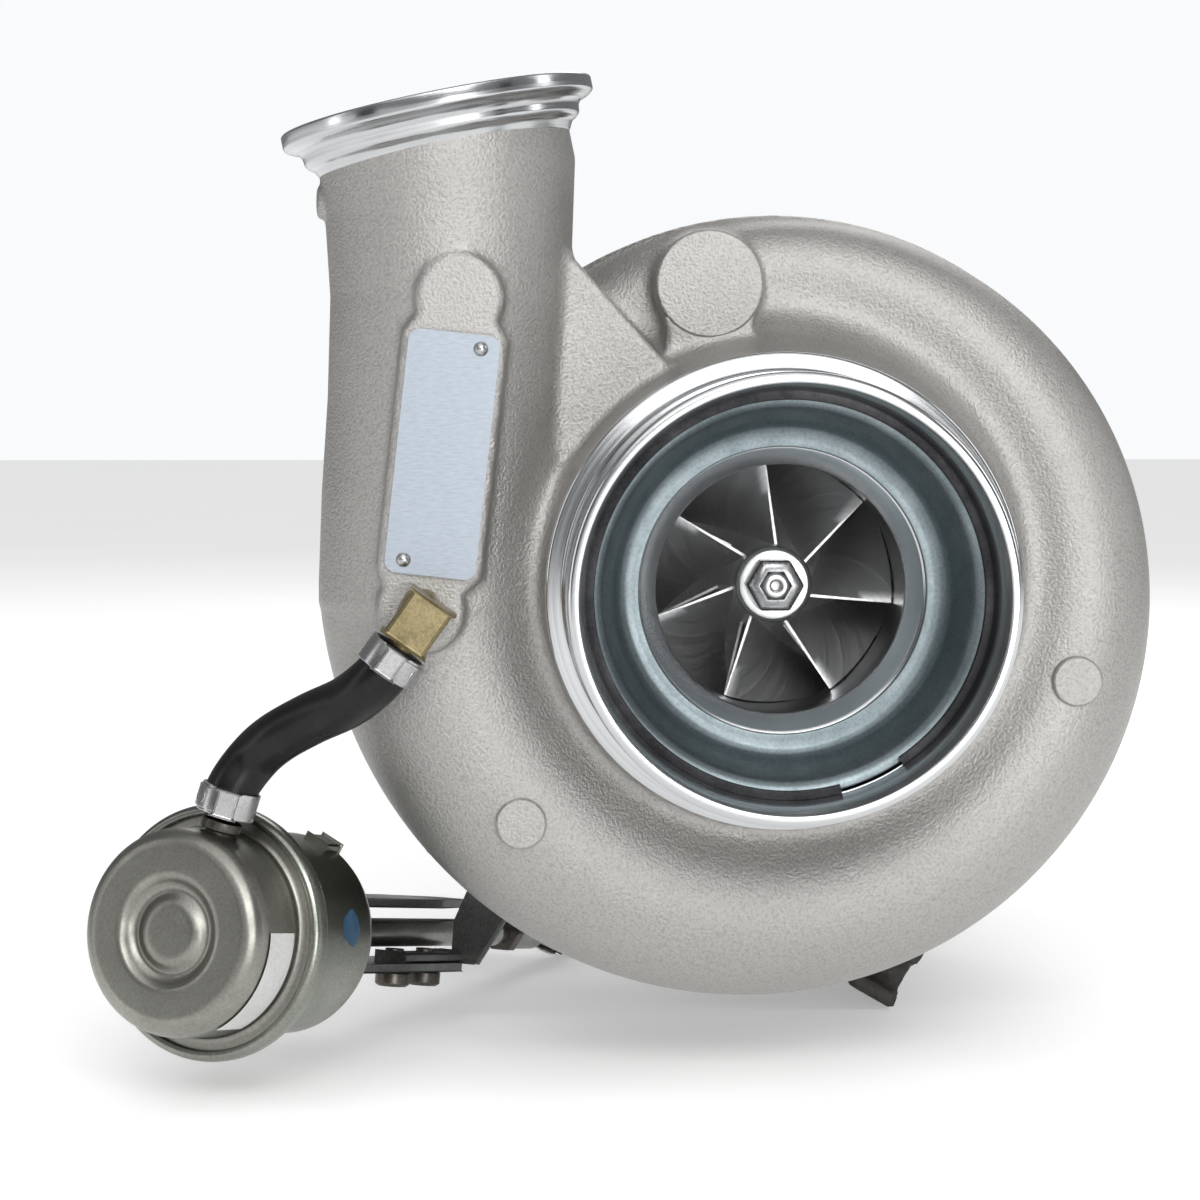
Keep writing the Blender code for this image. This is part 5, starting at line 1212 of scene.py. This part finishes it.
def bracket():
    high, low, thick = 7.2, -9.6, 2.4
    back = prism([(-22, -9.6), (10, -9.6), (10, 9.6), (-22, 9.6)], 0.3, 2.9)
    upper = [(-9.4, 1.0), (10, 1.0), (10, 60.0), (4, 84.0), (-4, 84.0), (-9.4, 60.0)]
    lower = [(-9.4, 1.0), (10, 1.0), (12.5, 30.0), (12.5, 70.0), (4, 84.0), (-4, 84.0), (-9.4, 60.0)]
    arms = [prism(upper, high, high + thick, "xy"), prism(lower, low, low + thick, "xy")]
    piece("channel", joined([back] + arms), "bracket_steel", ACTUATOR,
          nodes=["actuator_bracket"], bevel=0.5)
    for name, node, (u, v) in zip(("stud_nut_a", "stud_nut_b"),
                                  ("actuator_nut_upper", "actuator_nut_lower"), STUD_PLACES):
        frame = ACTUATOR @ aim_at((u, 0, v), (0, 1, 0))
        piece(name, hexagon(3.3, 7.9, 2.8, 5.6), "dark_steel", frame, nodes=[node], bevel=0.4)
    outline = [
        (5.0, -6.9), (17.0, -6.9), (27.0, 10.0), (68.0, 71.0), (60.0, 78.8), (51.0, 77.0), (43.0, 62.0),
        (14.5, 14.0),
        (10.5, 4.0), (10.5, -4.4), (5.0, -4.4),
    ]
    foot = block((4.6, 36.0, -6.9), (13.0, 69.0, -4.5))
    piece("leg", joined([prism(outline, 68.0, 71.0), foot]), "bracket_steel", ACTUATOR,
          nodes=["bracket_leg"], bevel=0.5)
    for node, (u, v) in zip(("leg_bolt_lower", "leg_bolt_upper"), LEG_BOLTS):
        bolt = [(62.6, 0), (62.6, 4.8), (63.2, 5.4), (67.7, 5.4), (67.7, 3.0), (79.0, 3.0), (79.0, 0)]
        frame = ACTUATOR @ aim_at((u, 0, v), (0, 1, 0))
        piece(f"{node}_shown", turned(bolt, 6), "dark_steel", frame, nodes=[node], bevel=0.3)
    for node, y in zip(("bracket_screw_front", "bracket_screw_rear"), BRACKET_SCREWS):
        screw = [(-13.6, 0), (-13.6, 3.6), (-12.9, 4.6), (low - 0.3, 4.6), (low - 0.3, 2.5), (-3.6, 2.5),
                 (-3.6, 0)]
        frame = ACTUATOR @ aim_at((7.2, y, 0), (0, 0, 1))
        piece(f"{node}_shown", turned(eased(screw, 0.3), 32), "dark_steel", frame, nodes=[node])


# ---------------------------------------------------------------- boost hose

def nipple_point(distance):
    """A point on the hose nipple's axis."""
    local = NIPPLE_FOOT + NIPPLE_UP * distance
    return CAN_REAR + ROD_SIDE * local.x + ROD_AXIS * local.y + ROD_UP * local.z


def hose_group():
    outlet = Vector((-0.58, 0.0, -0.82)).normalized()
    body = placed(block((-5.4, -6.4, -5.4), (5.4, 6.0, 5.4)),
                  aim_at(ELBOW_CENTRE, outlet, (-0.82, 0, 0.58)))
    centre = (LAND_BOTTOM[0], 0, LAND_BOTTOM[1])
    points = [Vector(point) for point in HOSE_ROUTE] + [nipple_point(HOSE_END + 7),
                                                        nipple_point(HOSE_END)]
    collar = placed(turned([(-66.0, 0), (-66.0, 5.0), (-60.4, 5.8), (-60.4, 0)], 6),
                    aim_at(centre, (0, 1, 0)))
    barb = placed(turned(rod(4.0, 11.0, 2.8), 24), aim_at(ELBOW_CENTRE, points[1] - points[0]))
    piece("elbow", joined([body, collar, barb]), "brass", nodes=["elbow_fitting"], bevel=0.9)
    route = smooth_route(points, 10)
    radii = [HOSE_RADIUS] * len(route)
    radii[0] = radii[-1] = HOSE_RADIUS - 0.9
    route.insert(1, route[0] + (route[1] - route[0]) * 0.35)
    radii.insert(1, HOSE_RADIUS)
    piece("hose", along_path(route, radii, 40), "rubber", nodes=["boost_hose"])
    for node, first, second in (("hose_clamp_upper", 0, 1), ("hose_clamp_lower", -1, -2)):
        way = (points[second] - points[first]).normalized()
        frame = aim_at(points[first] + way * 3.6, way, (0, -1, 0))
        band = eased(ring(-3.3, 3.3, HOSE_RADIUS + 0.05, HOSE_RADIUS + 0.85), 0.3)
        inner = part_turned(eased(ring(-2.6, 2.6, HOSE_RADIUS + 0.6, HOSE_RADIUS + 1.35), 0.25), 20, 120,
                            30)
        ear = block((HOSE_RADIUS + 0.2, -3.3, -2.6), (HOSE_RADIUS + 2.6, 3.3, 2.6))
        dimple = placed(turned(eased(ring(HOSE_RADIUS + 0.7, HOSE_RADIUS + 1.3, 1.2, 2.0), 0.2), 32),
                        aim_at((0, 0, 0), (0.5, 0, 0.87)))
        piece(f"{node}_shown", joined([turned(band, 96), inner, dimple]), "clamp_steel", frame,
              nodes=[node])
        piece(f"{node}_ear", ear, "clamp_steel", frame, nodes=[node], bevel=0.7)
    nipple = [(-3.4, 2.0), (-3.4, 3.2), (0.3, 3.4), (0.5, 4.9), (2.8, 4.9), (3.4, 3.1), (12.0, 3.0),
              (12.0, 2.0)]
    frame = ACTUATOR @ aim_at(NIPPLE_FOOT, NIPPLE_UP)
    lathe("nipple", nipple, "dark_steel", frame, nodes=["hose_nipple"], ease=0.3, flats=48)


# ---------------------------------------------------------------- carried-over CAD pieces

KEPT_LOOKS = {
    "backplate_o_ring": "rubber", "bearing_circlip_front": "dark_steel",
    "bearing_circlip_rear": "dark_steel",
    "thrust_bearing": "bronze", "oil_baffle": "dark_steel", "heat_shield": "heat_steel",
    "compressor_seal_ring": "dark_steel", "turbine_seal_ring": "dark_steel",
    "oil_slinger": "machined_steel",
    "thrust_collar": "machined_steel", "journal_bearing_front": "bronze",
    "journal_bearing_rear": "bronze",
    "spring_cup": "dark_steel",
    "rod_guide": "bronze", "wastegate_arm": "heat_steel",
}


def dress_kept(frame):
    """Gives a look to the CAD pieces that have no visible piece of their own."""
    for node, look in KEPT_LOOKS.items():
        kept = frame["nodes"][node]
        kept.data.materials.clear()
        kept.data.materials.append(LOOKS[look])


# ---------------------------------------------------------------- camera, light, floor

# Lamps and dark cards: place from the object's middle and size in metres, and the lamps' watts
LIGHTS = (
    ("key", (0.1, -1.35, 0.75), (0.9, 0.6), 8.5),
    ("front", (0.45, -1.5, -0.05), (0.6, 0.5), 7.5),
    ("side", (1.3, -0.15, 0.6), (0.25, 1.0), 2.5),
    ("left", (-1.3, -0.35, 0.3), (0.22, 0.9), 1.2),
    ("back", (0.3, 1.2, 1.0), (1.4, 0.6), 7.0),
)
CARDS = (
    ("card_left", (-0.85, -0.75, -0.1), (0.30, 1.1)),
    ("card_right", (0.95, -0.85, 0.0), (0.22, 1.1)),
    ("card_low", (0.0, -0.9, -0.22), (1.3, 0.12)),
)
SUN_WAY = (0.1, 0.75, -1.0)
SUN_POWER = 1.1
SUN_ANGLE = math.radians(70)
WORLD_LIGHT = 0.22
FLOOR_GLOW = 0.32
FLOOR_HALF = 6.0
CAMERA_PLACE = Vector((-65.0, -715.0, 47.0))
CAMERA_WAY = Vector((0.0340, 1.0, -0.0748))
CAMERA_LENS = 84.63


def aim_camera():
    data = bpy.data.cameras.new("camera")
    camera = added("camera", data)
    bpy.context.scene.view_settings.view_transform = "Standard"
    data.lens = CAMERA_LENS
    data.sensor_width = 36.0
    data.clip_start = 0.05
    camera.location = scene_point(CAMERA_PLACE)
    camera.rotation_euler = CAMERA_WAY.to_track_quat("-Z", "Y").to_euler()
    bpy.context.scene.camera = camera


def add_light(name, kind, way):
    """A lamp that shines along a direction."""
    data = bpy.data.lights.new(name, kind)
    lamp = added(name, data)
    lamp.rotation_euler = way.to_track_quat("-Z", "Y").to_euler()
    return lamp, data


def dark_card(name, place, size, look):
    """A dark upright card that only shows in the machined faces' reflections."""
    mesh = bpy.data.meshes.new(name)
    wide, high = size[0] / 2, size[1] / 2
    mesh.from_pydata([(-wide, 0, -high), (wide, 0, -high), (wide, 0, high), (-wide, 0, high)], [],
                     [[0, 1, 2, 3]])
    mesh.materials.append(look)
    card = added(name, mesh)
    card.location = place
    card.rotation_euler = (0.0, 0.0, math.atan2(-place[0], place[1]))
    card.visible_camera = card.visible_shadow = card.visible_diffuse = False


def paper(name, base, dark, light):
    """A matt, faintly clouded grey."""
    look, tree, shader = material(name, grey(base), 0.9, 0.0)
    tone = ramp(tree, noise(tree, 6.0), [(0.3, grey(dark)), (0.7, grey(light))])
    tree.links.new(tone, shader.inputs["Base Color"])
    return look, shader


def set_world():
    """A pale world that the camera sees brighter than the object does."""
    world = bpy.data.worlds.new("studio")
    bpy.context.scene.world = world
    world.use_nodes = True
    nodes, links = world.node_tree.nodes, world.node_tree.links
    nodes["Background"].inputs["Color"].default_value = (0.95, 0.96, 0.97, 1.0)
    level = nodes.new("ShaderNodeMath")
    level.operation = "MULTIPLY_ADD"
    links.new(nodes.new("ShaderNodeLightPath").outputs["Is Camera Ray"], level.inputs[0])
    level.inputs[1].default_value = 1.0 - WORLD_LIGHT
    level.inputs[2].default_value = WORLD_LIGHT
    links.new(level.outputs["Value"], nodes["Background"].inputs["Strength"])


def set_floor(height):
    look, shader = paper("floor_paper", 0.86, 0.93, 0.96)
    shader.inputs["Emission Color"].default_value = (1.0, 1.0, 1.0, 1.0)
    shader.inputs["Emission Strength"].default_value = FLOOR_GLOW
    mesh = bpy.data.meshes.new("floor")
    signs = ((-1, -1), (1, -1), (1, 1), (-1, 1))
    corners = [(FLOOR_HALF * across, FLOOR_HALF * along, height) for across, along in signs]
    mesh.from_pydata(corners, [], [[0, 1, 2, 3]])
    mesh.materials.append(look)
    added("floor", mesh)


def studio(low, high):
    middle = (Vector(low) + Vector(high)) / 2
    set_world()
    for name, offset, size, power in LIGHTS:
        place = middle + Vector(offset)
        lamp, data = add_light(name, "AREA", middle - place)
        lamp.location = place
        data.shape = "RECTANGLE"
        data.size, data.size_y = size
        data.energy = power
    lamp, sun = add_light("soft_sun", "SUN", Vector(SUN_WAY))
    sun.energy = SUN_POWER
    sun.angle = SUN_ANGLE
    card_look, _ = paper("dark_card", 0.02, 0.015, 0.03)
    for name, offset, size in CARDS:
        dark_card(name, middle + Vector(offset), size, card_look)
    set_floor(low[2])


def main():
    for thing in list(bpy.data.objects):
        bpy.data.objects.remove(thing)
    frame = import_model()
    cad_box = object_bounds()
    aim_camera()
    LOOKS.update(make_looks())
    compressor_cover()
    inlet_pieces()
    rotor()
    v_band("compressor", 1.25, 10.8, BAND_NECK, BAND_RIM, -70, "dark_steel")
    v_band("turbine", 57.2, 71.1, TURBINE_NECK, TURBINE_RIM, 160, "heat_steel")
    backplate()
    bearing_housing()
    turbine_housing()
    wastegate()
    actuator()
    bracket()
    hose_group()
    soft_inside()
    dress_kept(frame)
    studio(*cad_box)


main()
